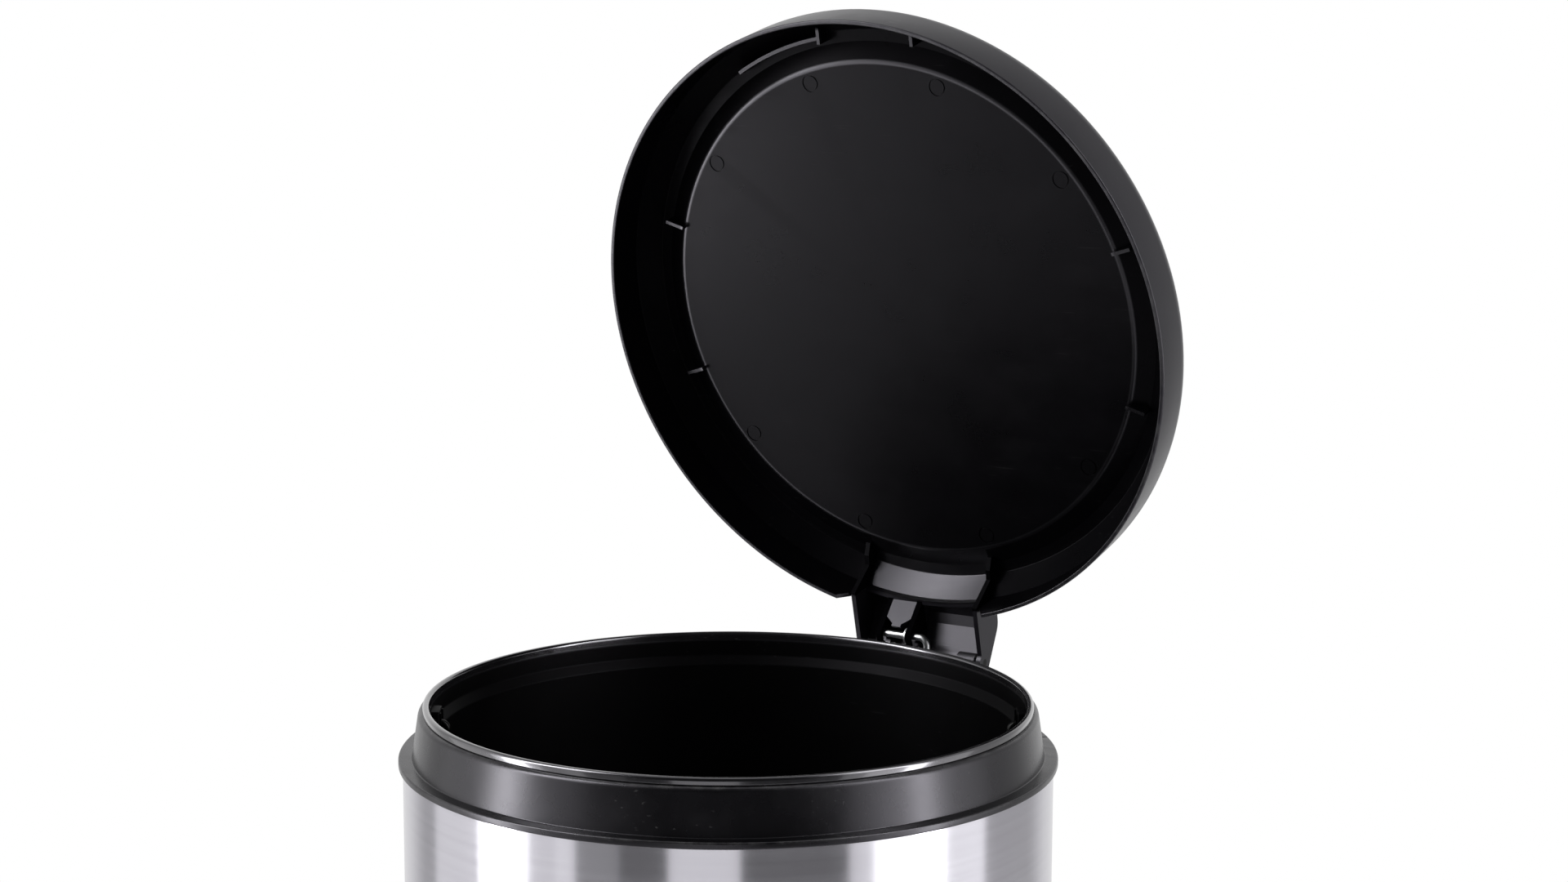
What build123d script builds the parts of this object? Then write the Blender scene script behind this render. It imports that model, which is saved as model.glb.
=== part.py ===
from build123d import *
import os
from math import asin, cos, degrees, radians, sin, sqrt

os.makedirs("parts", exist_ok=True)

# Round step bin of the 30 litre size, shown with its lid held open. Millimetres, +Z up.
# The origin is on the floor under the middle of the bin. The pedal is at -Y and the lid's hinge
# at +Y. The lid, the pedal and the rod between them are drawn in the open pose.

# Main sizes
flange_top = 610.0        # height of the flange that the lid closes down to
body_radius = 145.0       # outside of the steel tube
flange_radius = body_radius + 2.0
sheet = 0.8               # steel sheet of the tube
slip = 0.05               # radial gap of a pin that turns in its hole
loose = 0.3               # radial gap of a hole that only guides
side_gap = 0.4            # gap between faces that pass each other

# Lid and its hinge
open_angle = 76.2
hinge_y = body_radius + 28.0
hinge_rise = 10.0         # hinge axis above the flange
lid_gap = 2.0             # closed lid's edge above the flange
lid_radius = body_radius + 5.3
lid_draft = 0.5           # how far the skirt leans in
lid_wall = 2.2
lid_height = 31.0         # from the lid's edge to the crest of its raised ring
lid_crest_radius = lid_radius - 12.0
lid_disc_radius = lid_radius - 28.0   # sunken flat middle
lid_sink = 3.6            # how far the middle lies below the crest
lid_slope = 10.5          # width of the slope between middle and ring
lid_camber = 0.4
slope_crown = 3.0
edge_bevel = 0.6
arm_cut_height = 16.0     # opening in the lid's skirt for the arm
notch_height = 8.0        # where its sides slope down to the skirt's edge
notch_extra = 5.5
rib_angles = (17.5, 162.5, 197.5, 342.5)
rib_wall = 1.6
pocket_half = 25.0        # catch pocket at the front of the lid
pocket_rib = 8.0

# Hinge arm on the lid
arm_half = 35.5
arm_wall = 2.4
arm_foot_up = -2.2        # lower edge of the arm's side walls, from the hinge axis
boss_radius = 5.0
hinge_pin_radius = 1.9
hood_wall = 2.2
hood_reach = 34.0         # hood's inner end, ahead of the hinge axis
hood_up = 17.4
hood_bend_reach = 16.3    # where the hood starts to bend down
hood_bend_up = 16.9
hood_fold_reach = 10.6    # where it has bent
hood_fold_up = 14.9
hood_tip_back = 3.1       # its tip, behind the hinge axis
hood_tip_up = 3.9
hood_stop_reach = 1.0     # where it ends between the side walls
hood_stop_up = 4.35
hood_crown = 0.5
arm_root_reach = 30.0     # side walls inside the lid
arm_join_reach = 10.0
web_wall = 2.6
web_left = -20.4
web_middle = -4.0
web_reach = 24.0
web_root = 8.0
web_eye = 4.2             # radius of the web round the rod
web_slope = 52.8          # plate between the webs, against the closed lid's level
plate_thick = 2.0
plate_shoulder = 8.5      # along the plate: where it narrows, is narrow, and ends
plate_neck = 13.0
plate_end = 14.5
tab_half = 2.5

# Push rod
rod_radius = 1.75
rod_x = 6.0
rod_y = body_radius - 8.0
rod_bend = 4.0
rod_foot_reach = 6.0
crank_radius = 11.0
crank_open_angle = 60.0   # crank above the level line to the front, lid open
jog_low_drop = 38.0       # the rod's jog, below the flange
jog_high_drop = 17.0
clip_radius = 4.2
clip_thick = 0.8
guide_heights = (200.0, 420.0)
guide_height = 12.0
guide_half = 6.5

# Collar on top of the body
flange_thick = 3.0
band_foot_radius = body_radius - 4.0
band_top_radius = body_radius - 7.4
band_height = 20.4
band_wall = 2.2
collar_bore_radius = body_radius - 10.6
skirt_depth = 18.0
skirt_wall = 2.4
slit_angle = 41.5         # radial slits across the flange, from +X
slit_width = 1.0

# Inner bucket
lip_radius = collar_bore_radius + 1.6
lip_inner_radius = collar_bore_radius - 1.4
lip_height = 3.3
lip_round = 1.4
bucket_wall = 2.0
bucket_neck_wall = 1.5
ledge_drop = 11.4         # inner ledge below the lip's top
ledge_height = 4.0
ledge_radius = collar_bore_radius - 4.8
bucket_foot_radius = collar_bore_radius - 16.4
bucket_foot_height = 50.0
bucket_foot_round = 6.0
ear_angle = 32.6          # bail ears, from +X
ear_drop = 12.0           # bail's hinge line below the lip's top
ear_size = 13.0

# Bail handle of the bucket
bail_radius = collar_bore_radius - 8.4
bail_wire_radius = 1.75
bail_bend = 3.0
bail_straight = 10.0
bail_reach = collar_bore_radius + 0.2
grip_radius = 5.5
grip_half_angle = 21.0
grip_round = 1.2

# Base
base_radius = body_radius + 2.0
base_height = 52.0
base_wall = 2.4
foot_height = 4.0         # rubber ring below the base's edge
foot_lip = 7.0            # its lip inside that edge
foot_wall = 2.4
floor_top = 44.5
floor_thick = 2.5
groove_rise = 1.0
spigot_height = 60.0

# Pedal
pivot_y = 20.0
pivot_height = 22.0
pivot_radius = 2.5
pivot_reach = 19.0
lever_half = 13.0
lever_sheet = 2.0
lever_up = 5.0
lever_down = 5.5
lever_front = body_radius + 15.0      # lever's channel ahead of the pivot
lever_back = rod_y - pivot_y - 19.0   # and behind it
tongue_half = 12.0
eye_half = 1.5
eye_radius = 4.5
pedal_reach = body_radius + 60.0      # pedal's middle ahead of the pivot
pedal_half_width = 27.0
pedal_half_depth = 19.0
pad_margin = 1.5
pad_thick = 7.0
pad_groove = 2.0
rivet_radius = 2.0
rivet_head_radius = 3.5
rivet_x = 15.0
slot_half_width = 32.0
slot_bottom = 9.0
slot_top = 39.5

# Bracket under the floor
bracket_sheet = 2.0
bracket_gap = 0.6
bracket_half_x = 27.0
bracket_half_y = 15.0
bracket_boss = 6.0
bracket_screw_inset = 6.0
screw_radius = 1.7
screw_head_radius = 3.6
screw_head_height = 2.2
screw_length = 7.0

# Hinge housing behind the body
housing_half = 40.0
housing_back = hinge_y + 9.0
housing_depth = 62.0
housing_wall = 2.4
housing_chamfer = 18.0
housing_round = 8.0
deck_drop = 3.4           # deck below the flange's top
knuckle_radius = 4.0
knuckle_inner = 21.4
knuckle_outer = 31.2
window_half = 11.0
housing_screw_x = 27.0
housing_screw_drop = housing_depth - housing_chamfer
housing_boss_radius = 4.5
housing_screw_length = 16.0

# Places that follow from the sizes above
hinge_z = flange_top + hinge_rise
lid_edge_z = flange_top + lid_gap
crest_z = lid_edge_z + lid_height
disc_z = crest_z - lid_sink
crest_round = lid_radius - lid_draft - lid_crest_radius
inside_round = crest_round - lid_wall
shoulder_z = crest_z - crest_round
slope_foot = lid_disc_radius + 1.5
slope_head = lid_disc_radius + lid_slope
gutter_z = crest_z - lid_wall
lip_bottom = flange_top + band_height
lip_top = lip_bottom + lip_height
ear_z = lip_top - ear_drop
tube_inside = body_radius - sheet
steel_bottom = floor_top + groove_rise
steel_top = flange_top - flange_thick
floor_bottom = floor_top - floor_thick
deck_z = flange_top - deck_drop
crank_open = radians(crank_open_angle)
crank_closed = radians(crank_open_angle - open_angle)
rod_travel = crank_radius * (sin(crank_open) - sin(crank_closed))
rod_top_y = hinge_y - crank_radius * cos(crank_open)
rod_top_z = hinge_z + crank_radius * sin(crank_open)
rod_top_end = web_left - side_gap
rear_arm = rod_y - pivot_y
pedal_swing = degrees(rod_travel / rear_arm)
pedal_tilt = degrees(asin(rod_travel / 2 / rear_arm))
rod_foot_z = pivot_height + rear_arm * sin(radians(pedal_tilt))


def carried(move, plane):
    """A plane taken along by a move."""
    return Plane(move * plane.location)


# The lid is drawn closed on planes that are turned with it, and so stands open
lid_turn = (
    Location((0, hinge_y, hinge_z))
    * Location((0, 0, 0), (-open_angle, 0, 0))
    * Location((0, -hinge_y, -hinge_z))
)
lid_section = carried(lid_turn, Plane.XZ)
lid_side = carried(lid_turn, Plane.YZ)
lid_axis = Axis(lid_section.origin, lid_section.y_dir)

# The pedal's lever is drawn level on planes tilted about its pivot
pedal_turn = Location((0, pivot_y, pivot_height), (pedal_tilt, 0, 0))
lever_side = carried(pedal_turn, Plane.YZ)
lever_level = carried(pedal_turn, Plane.XY)

print("rod travel", round(rod_travel, 3), "mm")
print("pedal swing", round(pedal_swing, 3), "degrees")
print("rod foot height", round(rod_foot_z, 3), "mm")


def lid_level(height):
    """The closed lid's level plane at a height, turned to the open pose."""
    return carried(lid_turn, Plane.XY.offset(height))


def from_hinge(back, up):
    """A point of the closed lid's side view, measured from the hinge axis."""
    return (hinge_y + back, hinge_z + up)


def pin_in_lid(angle):
    """The rod's top leg in the closed lid's side view, when the lid is open by angle."""
    forward = rod_top_y - hinge_y
    height = rod_top_z - hinge_z - rod_travel * (1 - angle / open_angle)
    turn = radians(angle)
    return from_hinge(
        cos(turn) * forward - sin(turn) * height,
        sin(turn) * forward + cos(turn) * height,
    )


def rims(part, radius):
    """The circular edges of a part that have a given radius."""
    circles = part.edges().filter_by(GeomType.CIRCLE)
    return circles.filter_by(lambda edge: abs(edge.radius - radius) < slip)


# Steel body: a thin tube with a window at the back for the push rod
window_height = housing_depth - 2 * flange_thick
with BuildPart() as steel_body:
    with BuildSketch(Plane.XY.offset(steel_bottom)):
        Circle(body_radius)
        Circle(tube_inside, mode=Mode.SUBTRACT)
    extrude(amount=steel_top - steel_bottom)
    with Locations((rod_x, body_radius, steel_top - window_height / 2)):
        Box(2 * window_half, 4 * skirt_wall, window_height, mode=Mode.SUBTRACT)
    with BuildSketch(Plane.XZ.offset(-body_radius)):
        with Locations((0, flange_top - housing_screw_drop)):
            with GridLocations(2 * housing_screw_x, 1, 2, 1):
                Circle(screw_radius + loose)
    extrude(amount=body_radius / 2, mode=Mode.SUBTRACT)
steel_body.part.label = "steel_body"
export_step(steel_body.part, "parts/steel_body.step")

# Collar: flange over the steel's edge, a flared band, and an inner skirt inside the tube
band_top = flange_top + band_height
with BuildPart() as collar:
    with BuildSketch(Plane.XZ):
        with BuildLine():
            Polyline(
                (band_top_radius - band_wall, band_top - band_wall),
                (collar_bore_radius, band_top - band_wall),
                (collar_bore_radius, band_top),
                (band_top_radius - band_wall, band_top),
            )
            CenterArc((band_top_radius - band_wall, band_top - band_wall), band_wall, 0, 90)
            Polyline(
                (band_top_radius, band_top - band_wall),
                (band_foot_radius, flange_top),
                (flange_radius, flange_top),
                (flange_radius, steel_top),
                (tube_inside - slip, steel_top),
                (tube_inside - slip, flange_top - skirt_depth),
                (tube_inside - skirt_wall, flange_top - skirt_depth),
                (tube_inside - skirt_wall, flange_top - 2 * flange_thick),
                (band_foot_radius - band_wall, steel_top),
                (band_top_radius - band_wall, band_top - band_wall),
            )
        make_face()
    revolve(axis=Axis.Z)
    fillet(rims(collar, flange_radius), radius=flange_thick / 4)
    slit_middle = (band_foot_radius + flange_radius) / 2 + slit_width
    with PolarLocations(slit_middle, 2, slit_angle, 180 - 2 * slit_angle, endpoint=True):
        with Locations((0, 0, flange_top)):
            Box(flange_radius - band_foot_radius, slit_width, flange_thick, mode=Mode.SUBTRACT)
collar.part.label = "collar"
export_step(collar.part, "parts/collar.step")

# Base: moulded ring with a floor, a groove for the steel's edge and a slot for the pedal
groove_outer = body_radius + slip
ring_inner = groove_outer - base_wall
bracket_plate_top = floor_bottom - bracket_boss
bracket_screw_x = 2 * (bracket_half_x - bracket_screw_inset)
bracket_screw_y = 2 * (bracket_half_y - bracket_screw_inset)
with BuildPart() as base_ring:
    with BuildSketch(Plane.XZ):
        with BuildLine():
            Polyline(
                (0, floor_bottom),
                (ring_inner, floor_bottom),
                (ring_inner, foot_height),
                (base_radius, foot_height),
                (base_radius, base_height),
                (groove_outer, base_height),
                (groove_outer, steel_bottom),
                (tube_inside - slip, steel_bottom),
                (tube_inside - slip, spigot_height),
                (tube_inside - base_wall, spigot_height),
                (tube_inside - base_wall, floor_top),
                (0, floor_top),
                (0, floor_bottom),
            )
        make_face()
    revolve(axis=Axis.Z)
    fillet(rims(base_ring, base_radius), radius=base_wall / 2)
    with BuildSketch(Plane.XZ.offset(base_radius / 2)):
        with Locations((0, (slot_bottom + slot_top) / 2)):
            RectangleRounded(2 * slot_half_width, slot_top - slot_bottom, 2 * base_wall)
    extrude(amount=base_radius, mode=Mode.SUBTRACT)
    with BuildSketch(Plane.XY.offset(bracket_plate_top)):
        with Locations((0, pivot_y)):
            with GridLocations(bracket_screw_x, bracket_screw_y, 2, 2):
                Circle(2 * screw_radius + foot_wall / 2)
    extrude(amount=bracket_boss)
    with BuildSketch(Plane.XY.offset(bracket_plate_top)):
        with Locations((0, pivot_y)):
            with GridLocations(bracket_screw_x, bracket_screw_y, 2, 2):
                Circle(screw_radius)
    extrude(amount=screw_length, mode=Mode.SUBTRACT)
    with BuildSketch(Plane.XY.offset(floor_bottom)):
        with Locations((rod_x, rod_y)):
            Circle(rod_radius + 4 * loose)
    extrude(amount=floor_thick, mode=Mode.SUBTRACT)
base_ring.part.label = "base_ring"
export_step(base_ring.part, "parts/base_ring.step")

# Rubber ring under the base's edge, with a lip that holds it inside the wall
foot_inner = ring_inner - foot_wall
foot_outer = base_radius - base_wall / 2
foot_bevel = foot_height / 5
with BuildPart() as foot_ring:
    with BuildSketch(Plane.XZ):
        with BuildLine():
            Polyline(
                (foot_inner + foot_bevel, 0),
                (foot_outer - foot_bevel, 0),
                (foot_outer, foot_bevel),
                (foot_outer, foot_height),
                (ring_inner - slip, foot_height),
                (ring_inner - slip, foot_lip),
                (foot_inner, foot_lip),
                (foot_inner, foot_bevel),
                close=True,
            )
        make_face()
    revolve(axis=Axis.Z)
foot_ring.part.label = "foot_ring"
export_step(foot_ring.part, "parts/foot_ring.step")

# Inner bucket: a lip that hangs on the collar, a ledge, a tapered wall and a flat bottom
ledge_z = lip_top - ledge_drop
neck_radius = collar_bore_radius - loose
bucket_inside_foot = bucket_foot_height + bucket_wall
radial_out = Vector(cos(radians(ear_angle)), sin(radians(ear_angle)), 0)
sideways = Vector(-sin(radians(ear_angle)), cos(radians(ear_angle)), 0)
ear_plane = Plane(origin=(0, 0, ear_z), x_dir=sideways, z_dir=radial_out)
ear_face = bail_radius + bail_wire_radius + bail_bend / 3
ear_foot = -ear_size / 2
ear_step = ledge_z - ledge_height + bucket_wall / 2 - ear_z
with BuildPart() as inner_bucket:
    with BuildSketch(Plane.XZ):
        with BuildLine():
            Polyline(
                (0, bucket_foot_height),
                (bucket_foot_radius - bucket_foot_round, bucket_foot_height),
                (bucket_foot_radius, bucket_foot_height + bucket_foot_round),
                (ledge_radius + bucket_wall, ledge_z - ledge_height - bucket_wall),
                (neck_radius, ledge_z - bucket_wall / 2),
                (neck_radius, lip_bottom),
                (lip_radius, lip_bottom),
                (lip_radius, lip_top - lip_round),
            )
            ThreePointArc(
                (lip_radius, lip_top - lip_round),
                ((lip_radius + lip_inner_radius) / 2, lip_top),
                (lip_inner_radius, lip_top - lip_round),
            )
            Polyline(
                (lip_inner_radius, lip_top - lip_round),
                (neck_radius - bucket_neck_wall, ledge_z),
                (ledge_radius, ledge_z - ledge_height),
                (bucket_foot_radius - bucket_wall, bucket_inside_foot + bucket_foot_round),
                (bucket_foot_radius - bucket_wall - bucket_foot_round, bucket_inside_foot),
                (0, bucket_inside_foot),
                (0, bucket_foot_height),
            )
        make_face()
    revolve(axis=Axis.Z)
    for low, high, reach in (
        (ear_foot, ear_step, ledge_radius + bucket_wall / 2),
        (ear_step, -ear_foot, lip_inner_radius),
    ):
        for side in (1, -1):
            with BuildSketch(ear_plane.offset(side * ear_face)):
                with Locations((0, (low + high) / 2)):
                    Rectangle(ear_size, high - low)
            extrude(amount=side * (reach - ear_face))
    with BuildSketch(ear_plane):
        Circle(bail_wire_radius + slip)
    extrude(amount=lip_radius, both=True, mode=Mode.SUBTRACT)
inner_bucket.part.label = "inner_bucket"
export_step(inner_bucket.part, "parts/inner_bucket.step")

# Bail: a bent wire that hangs straight down from the ears
bail_plane = Plane(origin=(0, 0, ear_z), x_dir=radial_out, z_dir=-sideways)
stub_end = bail_radius + bail_bend
with BuildPart() as bail_wire:
    with BuildLine(bail_plane) as bail_path:
        Line((-bail_reach, 0), (-stub_end, 0))
        CenterArc((-stub_end, -bail_bend), bail_bend, 90, -90)
        Line((-bail_radius, -bail_bend), (-bail_radius, -bail_straight))
        ThreePointArc(
            (-bail_radius, -bail_straight),
            (0, -bail_straight - bail_radius),
            (bail_radius, -bail_straight),
        )
        Line((bail_radius, -bail_straight), (bail_radius, -bail_bend))
        CenterArc((stub_end, -bail_bend), bail_bend, 180, -90)
        Line((stub_end, 0), (bail_reach, 0))
    with BuildSketch(Plane(origin=bail_path.line @ 0, z_dir=bail_path.line % 0)):
        Circle(bail_wire_radius)
    sweep()
bail_wire.part.label = "bail_wire"
export_step(bail_wire.part, "parts/bail_wire.step")

# Grip: a plastic tube round the middle of the bail
grip_middle = bail_plane.from_local_coords((0, -bail_straight, 0))
grip_turn = radians(grip_half_angle)
grip_start = -bail_plane.x_dir * sin(grip_turn) - bail_plane.y_dir * cos(grip_turn)
grip_plane = Plane(
    origin=grip_middle, x_dir=grip_start, z_dir=grip_start.cross(bail_plane.z_dir)
)
with BuildPart() as bail_grip:
    with BuildSketch(grip_plane):
        with Locations((bail_radius, 0)):
            Circle(grip_radius)
            Circle(bail_wire_radius + slip, mode=Mode.SUBTRACT)
    revolve(axis=Axis(grip_middle, bail_plane.z_dir), revolution_arc=2 * grip_half_angle)
    fillet(rims(bail_grip, grip_radius), radius=grip_round)
bail_grip.part.label = "bail_grip"
export_step(bail_grip.part, "parts/bail_grip.step")

# Lid: a shallow cap with a raised ring round a sunken middle
with BuildPart() as lid:
    with BuildSketch(lid_section):
        with BuildLine():
            Polyline(
                (0, disc_z + lid_camber),
                (lid_disc_radius, disc_z),
                (slope_head - slope_crown, crest_z - lid_camber),
            )
            ThreePointArc(
                (slope_head - slope_crown, crest_z - lid_camber),
                (slope_head - slope_crown / 2, crest_z - lid_camber / 5),
                (lid_crest_radius, crest_z),
            )
            CenterArc((lid_crest_radius, shoulder_z), crest_round, 0, 90)
            Polyline(
                (lid_crest_radius + crest_round, shoulder_z),
                (lid_radius, lid_edge_z + edge_bevel),
                (lid_radius - edge_bevel, lid_edge_z),
                (lid_radius - lid_wall + edge_bevel, lid_edge_z),
                (lid_radius - lid_wall, lid_edge_z + edge_bevel),
                (lid_crest_radius + inside_round, shoulder_z),
            )
            CenterArc((lid_crest_radius, shoulder_z), inside_round, 0, 90)
            Polyline(
                (lid_crest_radius, gutter_z),
                (slope_head, gutter_z),
                (slope_foot, disc_z - lid_wall),
                (0, disc_z + lid_camber - lid_wall),
                (0, disc_z + lid_camber),
            )
        make_face()
    revolve(axis=lid_axis)
    # Way through the skirt for the arm, opening out in a slope to each side at its edge
    cut_half = arm_half + loose
    with BuildSketch(carried(lid_turn, Plane.XZ.offset(-lid_radius - lid_radius / 8))):
        with BuildLine():
            Polyline(
                (-cut_half - notch_extra, lid_edge_z - lid_gap),
                (-cut_half - notch_extra, lid_edge_z),
                (-cut_half, lid_edge_z + notch_height),
                (-cut_half, lid_edge_z + arm_cut_height),
                (cut_half, lid_edge_z + arm_cut_height),
                (cut_half, lid_edge_z + notch_height),
                (cut_half + notch_extra, lid_edge_z),
                (cut_half + notch_extra, lid_edge_z - lid_gap),
                close=True,
            )
        make_face()
    extrude(amount=lid_radius / 4, mode=Mode.SUBTRACT)
    # Small ribs in the gutter that come down onto the bucket's lip
    for rib_angle in rib_angles:
        with BuildSketch(carried(lid_turn, Plane.XZ.rotated((0, 0, rib_angle)))):
            with BuildLine():
                Polyline(
                    (slope_foot - side_gap, lip_top + loose),
                    (slope_head + side_gap, lip_top + loose),
                    (slope_head + side_gap, gutter_z + lid_wall / 2),
                    (slope_foot - side_gap, disc_z - lid_wall / 2),
                    close=True,
                )
            make_face()
        extrude(amount=rib_wall / 2, both=True)
    # Catch pocket at the front: two ribs with a curved wall between them
    with BuildSketch(lid_level(lip_top + loose)):
        Circle(lid_crest_radius)
        Circle(lid_crest_radius - rib_wall, mode=Mode.SUBTRACT)
        with Locations((0, -lid_radius)):
            Rectangle(2 * pocket_half, lid_radius, mode=Mode.INTERSECT)
        for side in (1, -1):
            with Locations((side * pocket_half, pocket_rib / 4 - lid_crest_radius)):
                Rectangle(rib_wall, pocket_rib)
    extrude(amount=gutter_z + lid_wall / 2 - lip_top - loose)
lid.part.label = "lid"
export_step(lid.part, "parts/lid.step")

# A form that trims the arm: the lid's hollow with the way out through its skirt
with BuildPart() as lid_hollow:
    with BuildSketch(lid_section):
        with BuildLine():
            Polyline(
                (0, lid_edge_z),
                (lid_radius - lid_wall, lid_edge_z),
                (lid_crest_radius + inside_round, shoulder_z),
            )
            CenterArc((lid_crest_radius, shoulder_z), inside_round, 0, 90)
            Polyline(
                (lid_crest_radius, gutter_z),
                (slope_head, gutter_z),
                (slope_foot, disc_z - lid_wall),
                (0, disc_z + lid_camber - lid_wall),
                (0, lid_edge_z),
            )
        make_face()
    revolve(axis=lid_axis)
    with BuildSketch(lid_level(lid_edge_z)):
        with Locations((0, lid_radius)):
            Rectangle(2 * arm_half, lid_radius / 4)
    extrude(amount=arm_cut_height)

# A second form: all that lies within the lid's outer skin above that way out
skirt_lean = lid_draft * arm_cut_height / (shoulder_z - lid_edge_z)
with BuildPart() as lid_skin:
    with BuildSketch(lid_section):
        with BuildLine():
            CenterArc((lid_crest_radius, shoulder_z), crest_round, 0, 90)
            Polyline(
                (lid_crest_radius, crest_z),
                (0, crest_z),
                (0, lid_edge_z + arm_cut_height),
                (lid_radius - skirt_lean, lid_edge_z + arm_cut_height),
                (lid_crest_radius + crest_round, shoulder_z),
            )
        make_face()
    revolve(axis=lid_axis)

# Hinge arm, inner half: the two side walls inside the lid and through its skirt
with BuildPart() as arm_inside:
    with BuildSketch(lid_side.offset(-arm_half)):
        with BuildLine():
            Polyline(
                (slope_foot + side_gap, crest_z),
                (slope_foot + side_gap, disc_z - lid_wall),
                (lip_inner_radius - lip_height + loose, lip_top + 2 * loose),
                ((lip_inner_radius + lip_radius) / 2 + loose, lip_top + loose),
                from_hinge(-arm_root_reach, arm_foot_up),
                from_hinge(-arm_join_reach, arm_foot_up),
                from_hinge(-arm_join_reach, lid_height),
                close=True,
            )
        make_face()
    extrude(amount=arm_wall)
    mirror(about=Plane.YZ)
    add(lid_hollow.part, mode=Mode.INTERSECT)

# Hinge arm, outer half: the hood, its side walls, the webs of the crank and the bosses
hood_middle_back = -(hood_bend_reach + hood_fold_reach) / 2
with BuildPart() as hinge_arm:
    with BuildSketch(lid_side):
        with BuildLine():
            Line(from_hinge(-hood_reach, hood_up), from_hinge(-hood_bend_reach, hood_bend_up))
            ThreePointArc(
                from_hinge(-hood_bend_reach, hood_bend_up),
                from_hinge(hood_middle_back, (hood_bend_up + hood_fold_up) / 2 + hood_crown),
                from_hinge(-hood_fold_reach, hood_fold_up),
            )
            Polyline(
                from_hinge(-hood_fold_reach, hood_fold_up),
                from_hinge(hood_tip_back, hood_tip_up),
                from_hinge(0, 0),
                from_hinge(0, arm_foot_up),
                from_hinge(-arm_root_reach + hood_wall, arm_foot_up),
                from_hinge(-hood_reach, hood_up),
            )
        make_face()
    extrude(amount=arm_half, both=True)
    with BuildSketch(lid_side):
        with BuildLine():
            Polyline(
                from_hinge(-hood_reach - boss_radius, hood_up - hood_wall),
                from_hinge(-hood_bend_reach - loose, hood_bend_up - hood_wall),
                from_hinge(-hood_fold_reach - hood_wall / 2, hood_fold_up - hood_wall),
                from_hinge(-hood_stop_reach, hood_stop_up),
                from_hinge(hood_stop_reach / 2, hood_stop_up + hood_wall),
                from_hinge(boss_radius, hood_stop_up + hood_wall),
                from_hinge(boss_radius, -boss_radius),
                from_hinge(-hood_reach - boss_radius, -boss_radius),
                close=True,
            )
        make_face()
    extrude(amount=arm_half - arm_wall, both=True, mode=Mode.SUBTRACT)
    # Between the knuckles the hood runs on to its tip
    with BuildSketch(lid_side):
        with BuildLine():
            Polyline(
                from_hinge(-hood_fold_reach, hood_fold_up),
                from_hinge(hood_tip_back, hood_tip_up),
                from_hinge(hood_tip_back - hood_wall / 2, hood_tip_up - hood_wall),
                from_hinge(-hood_stop_reach, hood_stop_up),
                from_hinge(-hood_fold_reach - hood_wall / 2, hood_fold_up - hood_wall),
                close=True,
            )
        make_face()
    extrude(amount=knuckle_inner - 2 * side_gap, both=True)
    for left in (web_left, web_middle):
        with BuildSketch(lid_side.offset(left)):
            with BuildLine():
                Polyline(
                    from_hinge(-web_reach, web_root),
                    from_hinge(-web_reach, hood_bend_up - hood_wall / 2),
                    from_hinge(-hood_bend_reach, hood_bend_up - hood_wall / 2),
                    from_hinge(-hood_fold_reach, hood_fold_up - hood_wall / 2),
                    from_hinge(-hood_stop_reach, hood_stop_up + hood_wall),
                    close=True,
                )
            make_face()
            for angle in (0, open_angle):
                with Locations(pin_in_lid(angle)):
                    Circle(web_eye)
            make_hull()
        extrude(amount=web_wall)
    # A plate closes the front between the webs and narrows to a tab above the rod
    plate_half = (web_middle - web_left) / 2
    plate_plane = Plane(
        origin=((web_left + web_middle + web_wall) / 2, *from_hinge(-web_reach, web_root)),
        x_dir=(1, 0, 0),
        z_dir=(0, sin(radians(web_slope)), cos(radians(web_slope))),
    )
    with BuildSketch(carried(lid_turn, plate_plane)):
        with BuildLine():
            Polyline(
                (-plate_half, 0),
                (-plate_half, plate_shoulder),
                (-tab_half, plate_neck),
                (-tab_half, plate_end),
                (tab_half, plate_end),
                (tab_half, plate_neck),
                (plate_half, plate_shoulder),
                (plate_half, 0),
                close=True,
            )
        make_face()
    extrude(amount=plate_thick)
    add(lid_skin.part, mode=Mode.SUBTRACT)
    for left in (-arm_half, arm_half - arm_wall):
        with BuildSketch(lid_side.offset(left)):
            with Locations(from_hinge(0, 0)):
                Circle(boss_radius)
        extrude(amount=arm_wall)
    add(arm_inside.part)
    with BuildSketch(lid_side):
        with Locations(from_hinge(0, 0)):
            Circle(hinge_pin_radius)
    extrude(amount=arm_half, both=True, mode=Mode.SUBTRACT)
    with BuildSketch(lid_side.offset(web_left)):
        for step in range(7):
            with Locations(pin_in_lid(open_angle * step / 6)):
                Circle(rod_radius + side_gap)
        make_hull()
    extrude(amount=arm_half, mode=Mode.SUBTRACT)
hinge_arm.part.label = "hinge_arm"
export_step(hinge_arm.part, "parts/hinge_arm.step")

# Hinge pins: pressed into the arm's bosses, turning in the housing's knuckles
pin_inner = knuckle_inner - side_gap
with BuildPart() as hinge_pins:
    for left in (-arm_half, pin_inner):
        with BuildSketch(lid_side.offset(left)):
            with Locations(from_hinge(0, 0)):
                Circle(hinge_pin_radius)
        extrude(amount=arm_half - pin_inner)
hinge_pins.part.label = "hinge_pins"
export_step(hinge_pins.part, "parts/hinge_pins.step")

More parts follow.
